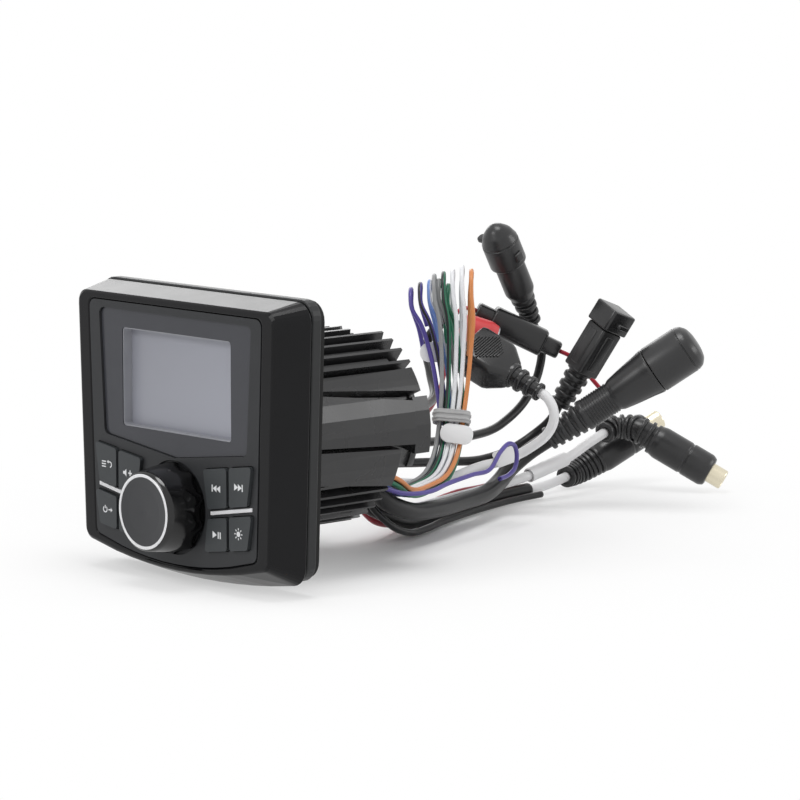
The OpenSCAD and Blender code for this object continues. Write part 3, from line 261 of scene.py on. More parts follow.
casting_black = finish("casting_black", cool(36), cool(46), (0.22, 0.34), grain=1300, specular=0.45)
flange_black = finish("flange_black", (34, 35, 36), (42, 43, 44), (0.34, 0.46), specular=0.3)
seal_rubber = finish("seal_rubber", cool(17, 0), cool(24, 0), (0.55, 0.72), depth=0.03, specular=0.25)
moulded_black = finish(
    "moulded_black", cool(37), cool(47), (0.26, 0.38), grain=1500, depth=0.015, specular=0.45)
gloss_black = finish(
    "gloss_black", cool(32), cool(40), (0.2, 0.3), grain=1500, depth=0.012, specular=0.5)
tie_grey = finish("tie_grey", cool(160, 0), cool(182, 0), (0.4, 0.55))
label_white = finish("label_white", cool(226, 2), cool(240, 0), (0.5, 0.62), grain=900, specular=0.2)
jack_red = finish("jack_red", (200, 62, 66), (218, 82, 84), (0.3, 0.42), depth=0.015, specular=0.45)
jack_cream = finish("jack_cream", (226, 218, 186), (238, 232, 206), (0.35, 0.45), depth=0.01)
# The contact is paled towards white, partly its own brass and partly a painted highlight.
contact_brass = finish(
    "contact_brass", (214, 204, 178), (232, 225, 204), (0.22, 0.36), depth=0.006, metallic=1.0)
icon_white = finish(
    "icon_white", (220, 221, 223), (234, 235, 236), (0.45, 0.55), depth=0.004, specular=0.2)
print("finishes:", len(bpy.data.materials))

# %% [markdown]
# ## Wire insulation with a tracer stripe
# Speaker wires come in pairs, and one of each pair has a thin black line along it.
# The tubes carry a UV map whose first number runs once round the wire. A stripe is a narrow band of it.


# %% Wire finish
STRIPE_MIDDLE, STRIPE_HALF = 0.5, 0.1


def insulation(name, colour, stripe=None, rough=(0.28, 0.4), specular=0.4):
    darker = [level * 0.93 for level in colour]
    material = finish(name, darker, colour, rough, grain=1200, depth=0.01, specular=specular)
    if stripe:
        tree = material.node_tree
        base = tree.nodes["Principled BSDF"].inputs["Base Color"]
        around = add_node(tree, "ShaderNodeUVMap", uv_map="around").outputs["UV"]
        turn = add_node(tree, "ShaderNodeSeparateXYZ", {"Vector": around}).outputs["X"]
        band = reckon(tree, "COMPARE", turn, STRIPE_MIDDLE, STRIPE_HALF)
        tree.links.new(mixed(tree, band, base.links[0].from_socket, srgb(*stripe)), base)
    return material


BLACK_LINE = (28, 28, 30)
PAIRED = {
    "white": (242, 243, 246), "grey": (150, 151, 152), "green": (34, 112, 82), "violet": (84, 72, 150),
}
wire_looks = {}
for colour, tone in PAIRED.items():
    wire_looks[colour] = insulation(colour + "_wire", tone)
    wire_looks[colour + "_black"] = insulation(colour + "_black_wire", tone, BLACK_LINE)
wire_looks["orange"] = insulation("orange_wire", (222, 142, 84))
wire_looks["blue"] = insulation("blue_wire", (110, 140, 205), (225, 228, 240))
red_wire = insulation("red_wire", (178, 42, 60))
black_wire = insulation("black_wire", cool(22), specular=0.3)
lead_white = insulation("lead_white", cool(240), rough=(0.34, 0.46))
cable_black = insulation("cable_black", cool(30), rough=(0.26, 0.38), specular=0.28)
sleeve_black = insulation("sleeve_black", cool(32), rough=(0.32, 0.44), specular=0.25)
print("wire colours:", len(wire_looks))

# %% [markdown]
# ## Routes of the cords
# A wire bends smoothly through a few chosen places. Between two of them a Hermite curve is drawn, whose
# direction at each place leans to the nearer neighbour, so that close points don't make kinks.


# %% Smooth routes
def way_at(points, index):
    if index == 0:
        return (points[1] - points[0]).normalized()
    if index == len(points) - 1:
        return (points[-1] - points[-2]).normalized()
    before = points[index] - points[index - 1]
    after = points[index + 1] - points[index]
    return (before.normalized() * after.length + after.normalized() * before.length).normalized()


def end_way(points):
    return way_at(points, len(points) - 1)


def smooth_route(points, step):
    """Places and directions along the curve, about one step apart."""
    route = []
    for index in range(len(points) - 1):
        a, b = points[index], points[index + 1]
        ta, tb = way_at(points, index), way_at(points, index + 1)
        reach = (b - a).length
        count = max(1, round(reach / step))
        for part in range(count):
            s = part / count
            place = (2 * s**3 - 3 * s * s + 1) * a + (s**3 - 2 * s * s + s) * reach * ta
            place += (3 * s * s - 2 * s**3) * b + (s**3 - s * s) * reach * tb
            way = (6 * s * s - 6 * s) * (a - b) + (3 * s * s - 4 * s + 1) * reach * ta
            way += (3 * s * s - 2 * s) * reach * tb
            route.append((place, way.normalized()))
    route.append((points[-1].copy(), end_way(points)))
    return route


def in_metres(*points):
    return [Vector(p) * MM for p in points]


print("route helpers ready")


# %% [markdown]
# ## Tubes
# A cord could be a bevelled curve, but a mesh tube gives a UV map that runs round and along it, which
# the stripe needs. The side direction is carried along without twist, so the stripe follows the wire
# as a real one does.


# %% Tube maker
UV_PER_METRE = 100


def carried_sides(route):
    way = route[0][1]
    other = UP if abs(way.z) < 0.9 else RIGHT
    sides = [way.cross(other).normalized()]
    for place, way in route[1:]:
        last = sides[-1]
        sides.append((last - last.dot(way) * way).normalized())
    return sides


def add_piece(name, mesh, material, body=UNIT, stands_for=()):
    """Links a finished mesh as a piece that rides on a body and stands for the solids it replaces."""
    mesh.materials.append(material)
    piece = bpy.data.objects.new(name, mesh)
    scene.collection.objects.link(piece)
    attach(piece, body)
    if stands_for:
        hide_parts(*stands_for)
    return piece


def mesh_of(name, points, faces):
    mesh = bpy.data.meshes.new(name)
    mesh.from_pydata(points, [], faces)
    mesh.update()
    return mesh


def skinned_faces(rings, count):
    """Faces of a stack of rings of points, closed at both ends."""
    faces = []
    for i in range(rings - 1):
        for k in range(count):
            a, b = i * count + k, i * count + (k + 1) % count
            faces.append((a, b, b + count, a + count))
    faces.append(tuple(reversed(range(count))))
    faces.append(tuple(range((rings - 1) * count, rings * count)))
    return faces


def tube_mesh(name, route, radius, corners, turn):
    points = []
    for (place, way), side in zip(route, carried_sides(route)):
        other = way.cross(side)
        for k in range(corners):
            angle = 2 * math.pi * k / corners + turn
            points.append(place + radius * (math.cos(angle) * side + math.sin(angle) * other))
    mesh = mesh_of(name, points, skinned_faces(len(route), corners))
    layer = mesh.uv_layers.new(name="around")
    run = [0.0]
    for i in range(len(route) - 1):
        run.append(run[-1] + (route[i + 1][0] - route[i][0]).length)
    for face_index, polygon in enumerate(mesh.polygons[:-2]):
        i, k = divmod(face_index, corners)
        spots = ((k, i), (k + 1, i), (k + 1, i + 1), (k, i + 1))
        for loop, (around, ring) in zip(polygon.loop_indices, spots):
            layer.data[loop].uv = (around / corners, run[ring] * UV_PER_METRE)
    mesh.polygons.foreach_set("use_smooth", [len(p.vertices) == 4 for p in mesh.polygons])
    mesh.update()
    return mesh


ROUTE_STEP = 1.2 * MM
cords = []


def lay_cord(name, points, diameter, material, node, far_end="bare", stiffness="limp",
             corners=14, turn=0.0):
    """One cord of the harness. Its connector is added to the cord's record once it is made."""
    route = smooth_route(points, ROUTE_STEP)
    mesh = tube_mesh(name, route, diameter / 2, corners, turn)
    piece = add_piece(name, mesh, material, stands_for=[node])
    cords.append({
        "piece": piece, "points": points, "route": route, "diameter": diameter,
        "far_end": far_end, "stiffness": stiffness, "with": [],
    })
    return cords[-1]


print("tube maker ready")


# %% [markdown]
# ## Thin wires
# Ten thin wires leave the grommet as two rows of five, turn up through a tie, spread, and are folded over
# once. The middle of the bundle is given, with its spread and the directions of its columns and rows, and
# each wire keeps its own column and row.

# %% Folded wires
EXIT = 45.0
bundle = [
    [(9, EXIT, 32.6), 1, RIGHT, UP],
    [(9, EXIT + 4, 32.2), 1, RIGHT, UP],
    [(8.6, 58, 28.4), 1, Vector((1, 0.1, 0)), Vector((0, 0.45, 0.9)).normalized()],
    [(3.5, 70, 22.3), 1, Vector((0.95, 0.3, 0)), Vector((-0.1, 0.3, 0.95)).normalized()],
    [(-4, 86, 21), 1, Vector((0.85, 0.52, 0)), UP],
    [(-12, 104, 23.5), 1, SIDE, (UP - 0.3 * DEEP).normalized()],
    [(-18.5, 115, 30.5), 1, SIDE, (UP - DEEP).normalized()],
    [(-22, 121, 43), 1, SIDE, (0.3 * UP - DEEP).normalized()],
    [(-25, 124, 56), 1.1, SIDE, -DEEP],
    [(-27.5, 125.5, 69), 1.25, SIDE, -DEEP],
    [(-29.5, 125.5, 82), 1.45, SIDE, -DEEP],
    [(-32, 125, 90), 1.55, SIDE, -DEEP],
    [(-34, 126.5, 95.7), 1.6, SIDE, (UP - DEEP).normalized()],
    [(-38, 130.5, 98), 1.6, SIDE, UP],
    [(-42, 134.5, 95.7), 1.6, SIDE, (UP + DEEP).normalized()],
    [(-44, 136, 90), 1.55, SIDE, DEEP],
    [(-43.5, 137.5, 78), 1.4, SIDE, DEEP],
    [(-42, 137.5, 64), 1.3, SIDE, DEEP],
]
WIRE_PITCH = 2.3
WIRE_D = 1.8 * MM
fold_rise = [[-5, -2], [-3, -1], [-2, 0], [-1.5, 1.5], [-3.5, 0]]
fold_share = [0, 0, 0, 0, 0, 0, 0, 0, 0, 0.2, 0.6, 1, 1, 1, 1, 1, 0.6, 0.2]
FOLD_DRIFT = 4.6
drift_share = [0, 0, 0, 0, 0, 0, 0, 0, 0.25, 0.5, 0.8, 1, 1, 1, 1, 1, 0.8, 0.6]
wire_stops = [[18, 17], [17, 18], [18, 17], [17, 18], [18, 18]]


def wire_points(column, row):
    points = []
    for k in range(wire_stops[column][row]):
        middle, spread, across, beside = bundle[k]
        sideways = (column - 2) * WIRE_PITCH * spread + 2 * (row - 0.5) * FOLD_DRIFT * drift_share[k]
        place = Vector(middle) + sideways * across + (row - 0.5) * WIRE_PITCH * beside
        place += fold_share[k] * fold_rise[column][row] * UP
        points.append(place * MM)
    return points


COLUMN_AND_ROW = {
    "white": (2, 1), "white_black": (3, 1), "grey": (0, 1), "grey_black": (3, 0), "green": (4, 0),
    "green_black": (1, 1), "violet": (0, 0), "violet_black": (1, 0), "orange": (4, 1), "blue": (2, 0),
}
STRIPE_TURN = 1.3
for colour, (column, row) in COLUMN_AND_ROW.items():
    plain = colour.split("_")[0]
    node, slot = "wires_" + plain, "wire_" + plain
    if plain in ("orange", "blue"):
        node, slot = "wires_orange_blue", "wire_orange"
    lay_cord("wire_" + colour, wire_points(column, row), WIRE_D, wire_looks[colour], node,
             turn=STRIPE_TURN * column)
lay_cord("wire_purple_loop", in_metres(
    (13.8, EXIT, 27.6), (14.2, EXIT + 4, 27.3), (15, 60, 24), (12.5, 76, 22.5), (7, 92, 23.5),
    (3, 108, 24.5), (-1, 122, 25), (-4.6, 131, 30.4), (-7.8, 139.5, 32.4), (-9.2, 143.5, 30.6),
    (-9.8, 145.1, 26.4), (-9.2, 143.5, 22.2), (-7.8, 139.5, 20.4), (-4.6, 130.5, 19.6),
), WIRE_D, wire_looks["violet_black"], "wires_violet", turn=0.6)
print("thin wires:", len(cords))

# %% [markdown]
# ## Supply wires, leads and cables
# The thicker cords lie on the floor or hang in low arcs to their connectors. Each ends where its
# connector begins.

# %% Supply wires
POWER_D = 2.8 * MM
lay_cord("supply_red", in_metres(
    (-7.2, EXIT, 26.4), (-7.2, EXIT + 4, 25.8), (-10.2, 59, 18), (-15, 72, 9), (-22, 87, 4.5),
    (-29, 101, 3), (-34, 111, 2.4), (-37, 124, 6.5), (-40, 140, 8.6), (-44, 158, 8.4), (-48, 174, 8.2),
    (-50, 190, 8.2),
), POWER_D, red_wire, "power_wires", stiffness="medium")
lay_cord("supply_black", in_metres(
    (2.6, EXIT, 24.6), (2.6, EXIT + 4, 24), (0.5, 60, 15), (-3, 72, 7.5), (-8.5, 86, 3),
    (-16, 102, 1.8), (-24, 118, 1.7), (-31, 136, 1.7), (-38, 158, 1.7), (-43, 178, 1.7),
    (-45, 194, 1.7),
), POWER_D, black_wire, "power_wires", stiffness="medium")
fuse_feed = lay_cord("fuse_feed", in_metres(
    (-8.2, EXIT, 33.6), (-8.2, EXIT + 4, 33.8), (-10, 58, 36), (-12.5, 68, 40), (-20, 86, 42.5),
    (-30, 104, 41), (-43, 124, 40), (-58, 147, 45), (-70, 164, 56), (-73.5, 170.8, 69),
    (-72.7, 171.8, 75.6), (-70.8, 173.9, 77.8), (-68.4, 176.7, 77.9), (-67.2, 178.1, 77),
), WIRE_D, red_wire, "power_wires", "fitting")
FUSE_LEN, TAIL_STRAIGHT = 38, 6
fuse_from, fuse_way = fuse_feed["points"][-1], end_way(fuse_feed["points"])
fuse_to = fuse_from + FUSE_LEN * MM * fuse_way
lay_cord("fuse_tail", [fuse_to, fuse_to + TAIL_STRAIGHT * MM * fuse_way] + in_metres(
    (-35, 213, 49), (-30, 215, 42), (-29, 212, 34),
), WIRE_D, red_wire, "power_wires")
print("cords:", len(cords))

# %% [markdown]
# ## White leads
# Two audio leads and the tuner's lead are the same white cable, so one helper holds what they share.
# One of them runs in a black jacket along the floor, and only its end comes out.

# %% White leads and their jacket
LEAD_D, SLEEVE_D = 4 * MM, 6 * MM
lay_cord("floor_sleeve", in_metres(
    (-2.4, EXIT + 0.3, 25.9), (-2.4, EXIT + 4, 25.2), (-6, 61, 16.8), (-9.5, 76, 10.5), (-16, 90, 6),
    (-22, 101, 4.2), (-28, 113, 3.4), (-35, 130, 3.3), (-42, 154, 3.2), (-48, 178, 3.2),
    (-50, 191, 3.2),
), SLEEVE_D, sleeve_black, "cable_sleeve", stiffness="stiff")


def lay_lead(name, *points):
    return lay_cord(
        name, in_metres(*points), LEAD_D, lead_white, "white_leads", "plug", "medium")


left_lead = lay_lead(
    "left_lead", (2.4, EXIT, 28.8), (2.2, EXIT + 4, 28.2), (-2.2, 64, 20), (-11.5, 89, 12),
    (-24, 113, 9.6), (-33, 132, 8.5), (-39, 155, 8.5), (-41, 182, 11), (-41, 205, 16), (-42.5, 220, 21),
    (-43.5, 230, 24))
right_lead = lay_lead(
    "right_lead", (-49.5, 187.7, 3.2), (-51, 197.5, 3.2), (-53.5, 209, 3.8), (-56, 220, 5))
tuner_lead = lay_lead(
    "tuner_lead", (-2.3, EXIT, 31.6), (-2.3, EXIT + 4, 31.4), (-5, 60, 27.5), (-10.5, 77, 23.5),
    (-18, 95, 20), (-27, 115, 17), (-31, 132, 17.5), (-31, 146, 20), (-27, 156, 22), (-20.5, 163.5, 27),
    (-14.5, 167.5, 33.3), (-12, 168.2, 40), (-12.9, 167.8, 44.4), (-15.5, 166.8, 47.9),
    (-18.4, 165.7, 49.5))
print("cords:", len(cords))

# %% [markdown]
# ## Black cables
# Three thin cables rise to the remote plug, the antenna socket and the red jack. The data socket has a
# thicker and stiffer one, which gets more corners so that it stays round.

# %% Black cables
CABLE_D, SOCKET_D = 3.6 * MM, 7 * MM


def lay_cable(name, far_end, *points):
    return lay_cord(
        name, in_metres(*points), CABLE_D, cable_black, "black_cables", far_end, "medium")


remote_cable = lay_cable(
    "remote_cable", "plug", (-11, EXIT, 26.9), (-11, EXIT + 4, 26.9), (-14, 62, 27.5), (-20, 84, 28.5),
    (-27, 107, 26), (-34, 132, 23), (-39.5, 156, 21), (-42, 174, 23), (-40.5, 184, 27.5),
    (-36.2, 190.5, 34.1), (-33, 193, 41))
antenna_cable = lay_cable(
    "antenna_cable", "connector", (-11.5, EXIT, 31.3), (-11.5, EXIT + 4, 31.6), (-15, 63, 34),
    (-20, 83, 35.5), (-29, 104, 33.5), (-39, 128, 31), (-49, 156, 29), (-56, 182, 31),
    (-58.5, 198.5, 39.5), (-60.5, 208, 50.5), (-61.2, 210.2, 58.5), (-60.9, 207.6, 65.1),
    (-60, 203, 72))
red_cable = lay_cable(
    "red_jack_cable", "connector", (-6.6, EXIT, 30.7), (-6.6, EXIT + 4, 30.9), (-7, 58, 34),
    (-8, 68, 41), (-13, 84, 47), (-24, 102, 48), (-37, 120, 46), (-51, 139, 48), (-64, 149, 55),
    (-71.3, 154.3, 64.6), (-70.3, 155.8, 69.7), (-67.4, 158.9, 73), (-64, 162.8, 73.3),
    (-62.6, 164.4, 72.5))
data_cable = lay_cord("data_cable", in_metres(
    (8.3, EXIT + 0.2, 26.3), (8.3, EXIT + 4, 26), (7, 60, 19.5), (3.5, 75, 14), (-3, 94, 12),
    (-13, 118, 11), (-23, 142, 11), (-30.5, 156, 13), (-34.5, 167, 17.5), (-33, 175.5, 22.9),
    (-27, 181, 28.4),
), SOCKET_D, cable_black, "socket_cable", "connector", "stiff", corners=20)
print("cords:", len(cords))

# %% [markdown]
# ## Solids whose shape is already right
# Flat mouldings such as the faceplate and the keys stay as they are: a weld joins their loose triangles
# and a narrow bevel gives the edges the small radius of a mould. Only the finish is new.


# %% Softened solids
WELD_WITHIN = 0.002 * MM
SHARP_EDGE = math.radians(40)


def soften(solid, material, width, segments):
    if solid.material_slots:
        solid.material_slots[0].material = material
    else:
        solid.data.materials.append(material)
    if width:
        weld = solid.modifiers.new("joined", "WELD")
        weld.merge_threshold = WELD_WITHIN
        edges = solid.modifiers.new("soft_edges", "BEVEL")
        edges.width = width * MM
        edges.segments = segments
        edges.limit_method = "ANGLE"
        edges.angle_limit = SHARP_EDGE
        edges.harden_normals = True


KEYS = ("menu", "bass_up", "source", "bass_down", "previous", "next", "play", "dimmer")
DRESSED = (
    (bezel_satin, 0.8, 3, ["bezel"]),
    (face_satin, 0.28, 2, ["faceplate"]),
    (window_gloss, 0.3, 2, ["window_panel"]),
    (light_white, 0.2, 2, ["light_bars"]),
    (key_rubber, 0.55, 3, ["button_" + key for key in KEYS]),
    (knob_gloss, 0.3, 2, ["knob_skirt"]),
    (flange_black, 0.7, 3, ["mounting_flange"]),
    (seal_rubber, 0.3, 2, ["panel_gasket"]),
    (casting_black, 0.25, 2, ["heat_sink_housing"]),
    (casting_black, 0.4, 2, ["rear_cover"]),
    (inner_plastic, 0.2, 2, ["amplifier_module"]),
    (screen_grey_and_painted_reflection, 0, 0, ["display_module"]),
    (ring_bright, 0, 0, ["knob_ring"]),
    (knob_satin, 0, 0, ["knob_cap"]),
    (inner_plastic, 0, 0, ["encoder_housing", "push_carrier", "key_switches", "capacitors"]),
    (board_green, 0, 0, ["control_board", "main_board"]),
    (screw_steel, 0, 0, ["encoder_shaft", "board_screws", "housing_screws", "cover_screws"]),
)
for material, width, segments, names in DRESSED:
    for name in names:
        soften(nodes[name], material, width, segments)
print("dressed solids:", sum(len(row[-1]) for row in DRESSED))

# %% [markdown]
# ## Mesh helpers
# Turned parts come from a profile of radius and height, and square parts from a stack of rounded
# sections. Edges sharper than a limit stay crisp, and the rest is shaded smooth.


# %% Seats and shading
CRISP = 34.0
CRISP_BOOT = 50.0


def shade(mesh, limit=CRISP):
    work = bmesh.new()
    work.from_mesh(mesh)
    for face in work.faces:
        face.smooth = True
    for edge in work.edges:
        sharp = len(edge.link_faces) == 2 and edge.calc_face_angle(0.0) > math.radians(limit)
        edge.smooth = not sharp
    work.to_mesh(mesh)
    work.free()
    return mesh


def seat(place, side, way):
    """Local X and Y beside a heading, and local Z along it."""
    across = way.cross(side).normalized()
    beside = across.cross(way).normalized()
    return Matrix((
        (beside.x, across.x, way.x, place.x),
        (beside.y, across.y, way.y, place.y),
        (beside.z, across.z, way.z, place.z),
        (0, 0, 0, 1),
    ))


def end_seat(points):
    return seat(points[-1], RIGHT, end_way(points))


def joined(name, *meshes):
    """Several closed meshes as one mesh of one piece."""
    work = bmesh.new()
    for mesh in meshes:
        work.from_mesh(mesh)
        bpy.data.meshes.remove(mesh)
    mesh = bpy.data.meshes.new(name)
    work.to_mesh(mesh)
    work.free()
    return mesh


def add_shell(name, node, *meshes, material=moulded_black, body=UNIT):
    """A moulded connector of one or more closed meshes, which stands for its solid."""
    return add_piece(name, joined(name, *meshes), material, body, [node])


print("seats and shading ready")


# %% Turned parts
def soft_profile(points, radius, steps=3):
    """Rounds each inner corner of a profile in millimetres."""
    made = [points[0]]
    for i in range(1, len(points) - 1):
        a, b, c = Vector(points[i - 1]), Vector(points[i]), Vector(points[i + 1])
        before, after = a - b, c - b
        cut = min(radius, before.length * 0.45, after.length * 0.45)
        p, q = b + before.normalized() * cut, b + after.normalized() * cut
        for k in range(steps + 1):
            s = k / steps
            made.append(tuple((1 - s) ** 2 * p + 2 * s * (1 - s) * b + s * s * q))
    made.append(points[-1])
    return made


def turned_mesh(name, profile, matrix, segments=48, loop=False):
    """Turns (radius, height) points in millimetres, from pole to pole or once round a wall."""
    points, rings = [], []
    for radius, height in profile:
        if radius < 1e-6:
            rings.append([len(points)])
            points.append(Vector((0, 0, height)) * MM)
            continue
        rings.append(list(range(len(points), len(points) + segments)))
        for k in range(segments):
            angle = 2 * math.pi * k / segments
            points.append(Vector((radius * math.cos(angle), radius * math.sin(angle), height)) * MM)
    if loop:
        rings.append(rings[0])
    faces = []
    for low, high in zip(rings, rings[1:]):
        for k in range(segments):
            n = (k + 1) % segments
            if len(low) == 1 and len(high) == 1:
                continue
            if len(low) == 1:
                faces.append((low[0], high[n], high[k]))
            elif len(high) == 1:
                faces.append((low[k], low[n], high[0]))
            else:
                faces.append((low[k], low[n], high[n], high[k]))
    return shade(mesh_of(name, [matrix @ p for p in points], faces))


print("turning ready")


# %% Square parts
LEAST_CORNER = 0.2


def rounded_section(width, height, radius, steps=5):
    points = []
    for quarter, (sx, sy) in enumerate(((1, 1), (-1, 1), (-1, -1), (1, -1))):
        for k in range(steps + 1):
            angle = math.pi / 2 * (quarter + k / steps)
            x = sx * (width / 2 - radius) + radius * math.cos(angle)
            y = sy * (height / 2 - radius) + radius * math.sin(angle)
            points.append((x, y))
    return points


def stacked_mesh(name, sections, matrix, shift=0.0):
    """Skins (height, width, depth, corner radius) sections in millimetres, shifted along X."""
    points = []
    for height, width, depth, radius in sections:
        ring = rounded_section(width, depth, radius)
        points += [matrix @ (Vector((x + shift, y, height)) * MM) for x, y in ring]
    return shade(mesh_of(name, points, skinned_faces(len(sections), len(points) // len(sections))))


def block_mesh(name, matrix, z0, z1, width, depth, corner, edge, shift=0.0, steps=3):
    """A block with round corners, whose two ends are rounded over by edge millimetres."""
    sections = []
    for start, way in ((z0, 1), (z1, -1)):
        for k in range(steps + 1)[::way]:
            angle = math.pi / 2 * k / steps
            inset = edge * (1 - math.sin(angle))
            height = start + way * edge * (1 - math.cos(angle))
            radius = max(LEAST_CORNER, corner - inset)
            sections.append((height, width - 2 * inset, depth - 2 * inset, radius))
    return stacked_mesh(name, sections, matrix, shift)


print("blocks ready")


# %% [markdown]
# ## Ribs that follow a boot
# Strain reliefs are rows of rubber rings on a thinner core, and two of them bend. A Geometry Nodes tree
# takes the boot's middle line, skins the core, and places a rounded ring at equal steps, each scaled to
# the taper, so one tree makes straight and curved boots.


# %% Boot tree
ROUND = 28


def end_tree(tree, shapes, material, result):
    """Makes the instances real, because an export drops them, and sets the finish."""
    real = add_node(tree, "GeometryNodeRealizeInstances", {"Geometry": shapes})
    painted = add_node(tree, "GeometryNodeSetMaterial", {
        "Geometry": real.outputs["Geometry"], "Material": material,
    })
    tree.links.new(painted.outputs["Geometry"], result)


def build_boot_tree():
    tree, given, result = start_tree("GeometryNodeTree", "ribbed_boot", [
        ("Line", "Geometry"), ("Thin end", "Float", 0.003), ("Thick end", "Float", 0.005),
        ("Groove", "Float", 0.0008), ("Rib width", "Float", 0.0016), ("Ribs", "Int", 5),
        ("Finish", "Material"),
    ], [("Boot", "Geometry")])
    taper = add_node(tree, "ShaderNodeMapRange", {
        "Value": add_node(tree, "GeometryNodeSplineParameter").outputs["Factor"],
        "To Min": given["Thin end"], "To Max": given["Thick end"],
    }).outputs["Result"]
    section = add_node(tree, "GeometryNodeCurvePrimitiveCircle", {"Resolution": ROUND, "Radius": 1.0})
    core = add_node(tree, "GeometryNodeCurveToMesh", {
        "Curve": given["Line"], "Scale": reckon(tree, "SUBTRACT", taper, given["Groove"]),
        "Profile Curve": section.outputs["Curve"], "Fill Caps": True,
    })
    sized = add_node(tree, "GeometryNodeSetCurveRadius", {"Curve": given["Line"], "Radius": taper})
    spots = add_node(tree, "GeometryNodeCurveToPoints", {
        "Curve": sized.outputs["Curve"], "Count": given["Ribs"],
    }, mode="COUNT").outputs
    square = add_node(tree, "GeometryNodeCurvePrimitiveQuadrilateral", {
        "Width": reckon(tree, "MULTIPLY", given["Groove"], 2.0), "Height": given["Rib width"],
    })
    rounded = add_node(tree, "GeometryNodeFilletCurve", {
        "Curve": square.outputs["Curve"], "Count": 3,
        "Radius": reckon(tree, "MULTIPLY", given["Rib width"], 0.28),
    }, mode="POLY")
    hoop = add_node(tree, "GeometryNodeCurvePrimitiveCircle", {
        "Resolution": ROUND, "Radius": reckon(tree, "SUBTRACT", given["Thick end"], given["Groove"]),
    })
    rib = add_node(tree, "GeometryNodeCurveToMesh", {
        "Curve": hoop.outputs["Curve"], "Profile Curve": rounded.outputs["Curve"],
    })
    spot_size = add_node(tree, "GeometryNodeInputRadius").outputs["Radius"]
    row = add_node(tree, "GeometryNodeInstanceOnPoints", {
        "Points": spots["Points"], "Instance": rib.outputs["Mesh"], "Rotation": spots["Rotation"],
        "Scale": reckon(tree, "DIVIDE", spot_size, given["Thick end"]),
    })
    both = add_node(tree, "GeometryNodeJoinGeometry")
    for shapes in (core.outputs["Mesh"], row.outputs["Instances"]):
        tree.links.new(shapes, both.inputs["Geometry"])
    end_tree(tree, both.outputs["Geometry"], given["Finish"], result["Boot"])
    return tree


boot_tree = build_boot_tree()
print("tree:", boot_tree.name)


# %% Boots
def grown_mesh(name, source, tree, values):
    """Runs a tree on a source curve or mesh, and gives its result back as a plain mesh with no finish."""
    holder = bpy.data.objects.new(name + "_source", source)
    scene.collection.objects.link(holder)
    grow = holder.modifiers.new("grow", "NODES")
    grow.node_group = tree
    sockets = {s.name: s.identifier for s in tree.interface.items_tree if s.in_out == "INPUT"}
    for label, value in values.items():
        grow[sockets[label]] = value
    evaluated = holder.evaluated_get(bpy.context.evaluated_depsgraph_get())
    mesh = bpy.data.meshes.new_from_object(evaluated)
    bpy.data.objects.remove(holder)
    mesh.name = name
    mesh.materials.clear()
    return mesh


def boot_mesh(name, places, thin_end, thick_end, ribs, rib_width, groove):
    curve = bpy.data.curves.new(name, "CURVE")
    curve.dimensions = "3D"
    spline = curve.splines.new("POLY")
    spline.points.add(len(places) - 1)
    for point, place in zip(spline.points, places):
        point.co = (*place, 1.0)
    mesh = grown_mesh(name, curve, boot_tree, {
        "Thin end": thin_end * MM, "Thick end": thick_end * MM, "Groove": groove * MM,
        "Rib width": rib_width * MM, "Ribs": ribs, "Finish": moulded_black,
    })
    return shade(mesh, CRISP_BOOT)


def straight_places(matrix, length, count=9):
    return [matrix @ (Vector((0, 0, length * k / (count - 1))) * MM) for k in range(count)]


print("boots ready")


# %% [markdown]
# ## Data socket
# The largest connector: a slit strain relief, a finely ribbed neck, a flared body, and a domed cap that
# pulls off. Body and neck are turned in one profile. The cap is a piece of its own, because it moves.

# %% Data socket
CAP_GAP = 0.3
data_seat = end_seat(data_cable["points"])
DATA_R, DATA_NECK_R, DATA_LEN, DATA_CAP = 9.9, 6.2, 71.0, 21.0
data_top = DATA_LEN - DATA_CAP
NECK_FROM, NECK_RINGS, NECK_PITCH = 16.5, 11, 1.15
crest, groove = DATA_NECK_R + 0.25, DATA_NECK_R - 0.1
neck = [(0, NECK_FROM), (DATA_NECK_R, NECK_FROM)]
for k in range(NECK_RINGS):
    z = NECK_FROM + 1.5 + NECK_PITCH * k
    neck += [(crest, z), (crest, z + 0.6), (groove, z + 0.7), (groove, z + 1.05)]
flare = soft_profile([
    (DATA_NECK_R + 0.2, 31.2), (DATA_NECK_R + 0.7, 32.0), (DATA_NECK_R + 1.8, data_top - 12),
    (DATA_R - 0.8, data_top - 4.5), (DATA_R - 0.1, data_top - 1), (DATA_R - 0.1, data_top),
    (0, data_top),
], 2.0, 5)
data_body = turned_mesh("data_body", neck + flare, data_seat, 56)
data_relief = boot_mesh("data_relief", straight_places(data_seat, 17), 5.0, 6.6, 6, 2.35, 1.1)
data_cable["with"] += [add_shell("data_socket_shell", "data_socket", data_body, data_relief)]
data_dome = turned_mesh("data_dome", soft_profile([
    (0, data_top + CAP_GAP), (DATA_R - 0.1, data_top + CAP_GAP), (DATA_R, data_top + 0.7),
    (DATA_R, DATA_LEN - 5.6), (DATA_R - 0.35, DATA_LEN - 5.5), (DATA_R - 0.35, DATA_LEN - 5.1),
    (DATA_R - 0.05, DATA_LEN - 5.0), (DATA_R - 0.8, DATA_LEN - 2.8), (DATA_R - 3, DATA_LEN - 0.9),
    (DATA_R - 6, DATA_LEN - 0.1), (0, DATA_LEN),
], 0.8), data_seat, 56)
add_shell("data_socket_dome", "data_socket_cap", data_dome, body="data_socket_cap_body")
print("data socket ready")

# %% [markdown]
# ## Antenna socket
# A round socket under a domed dust cap, which has a seam below its dome, a pull tab and a small hook.

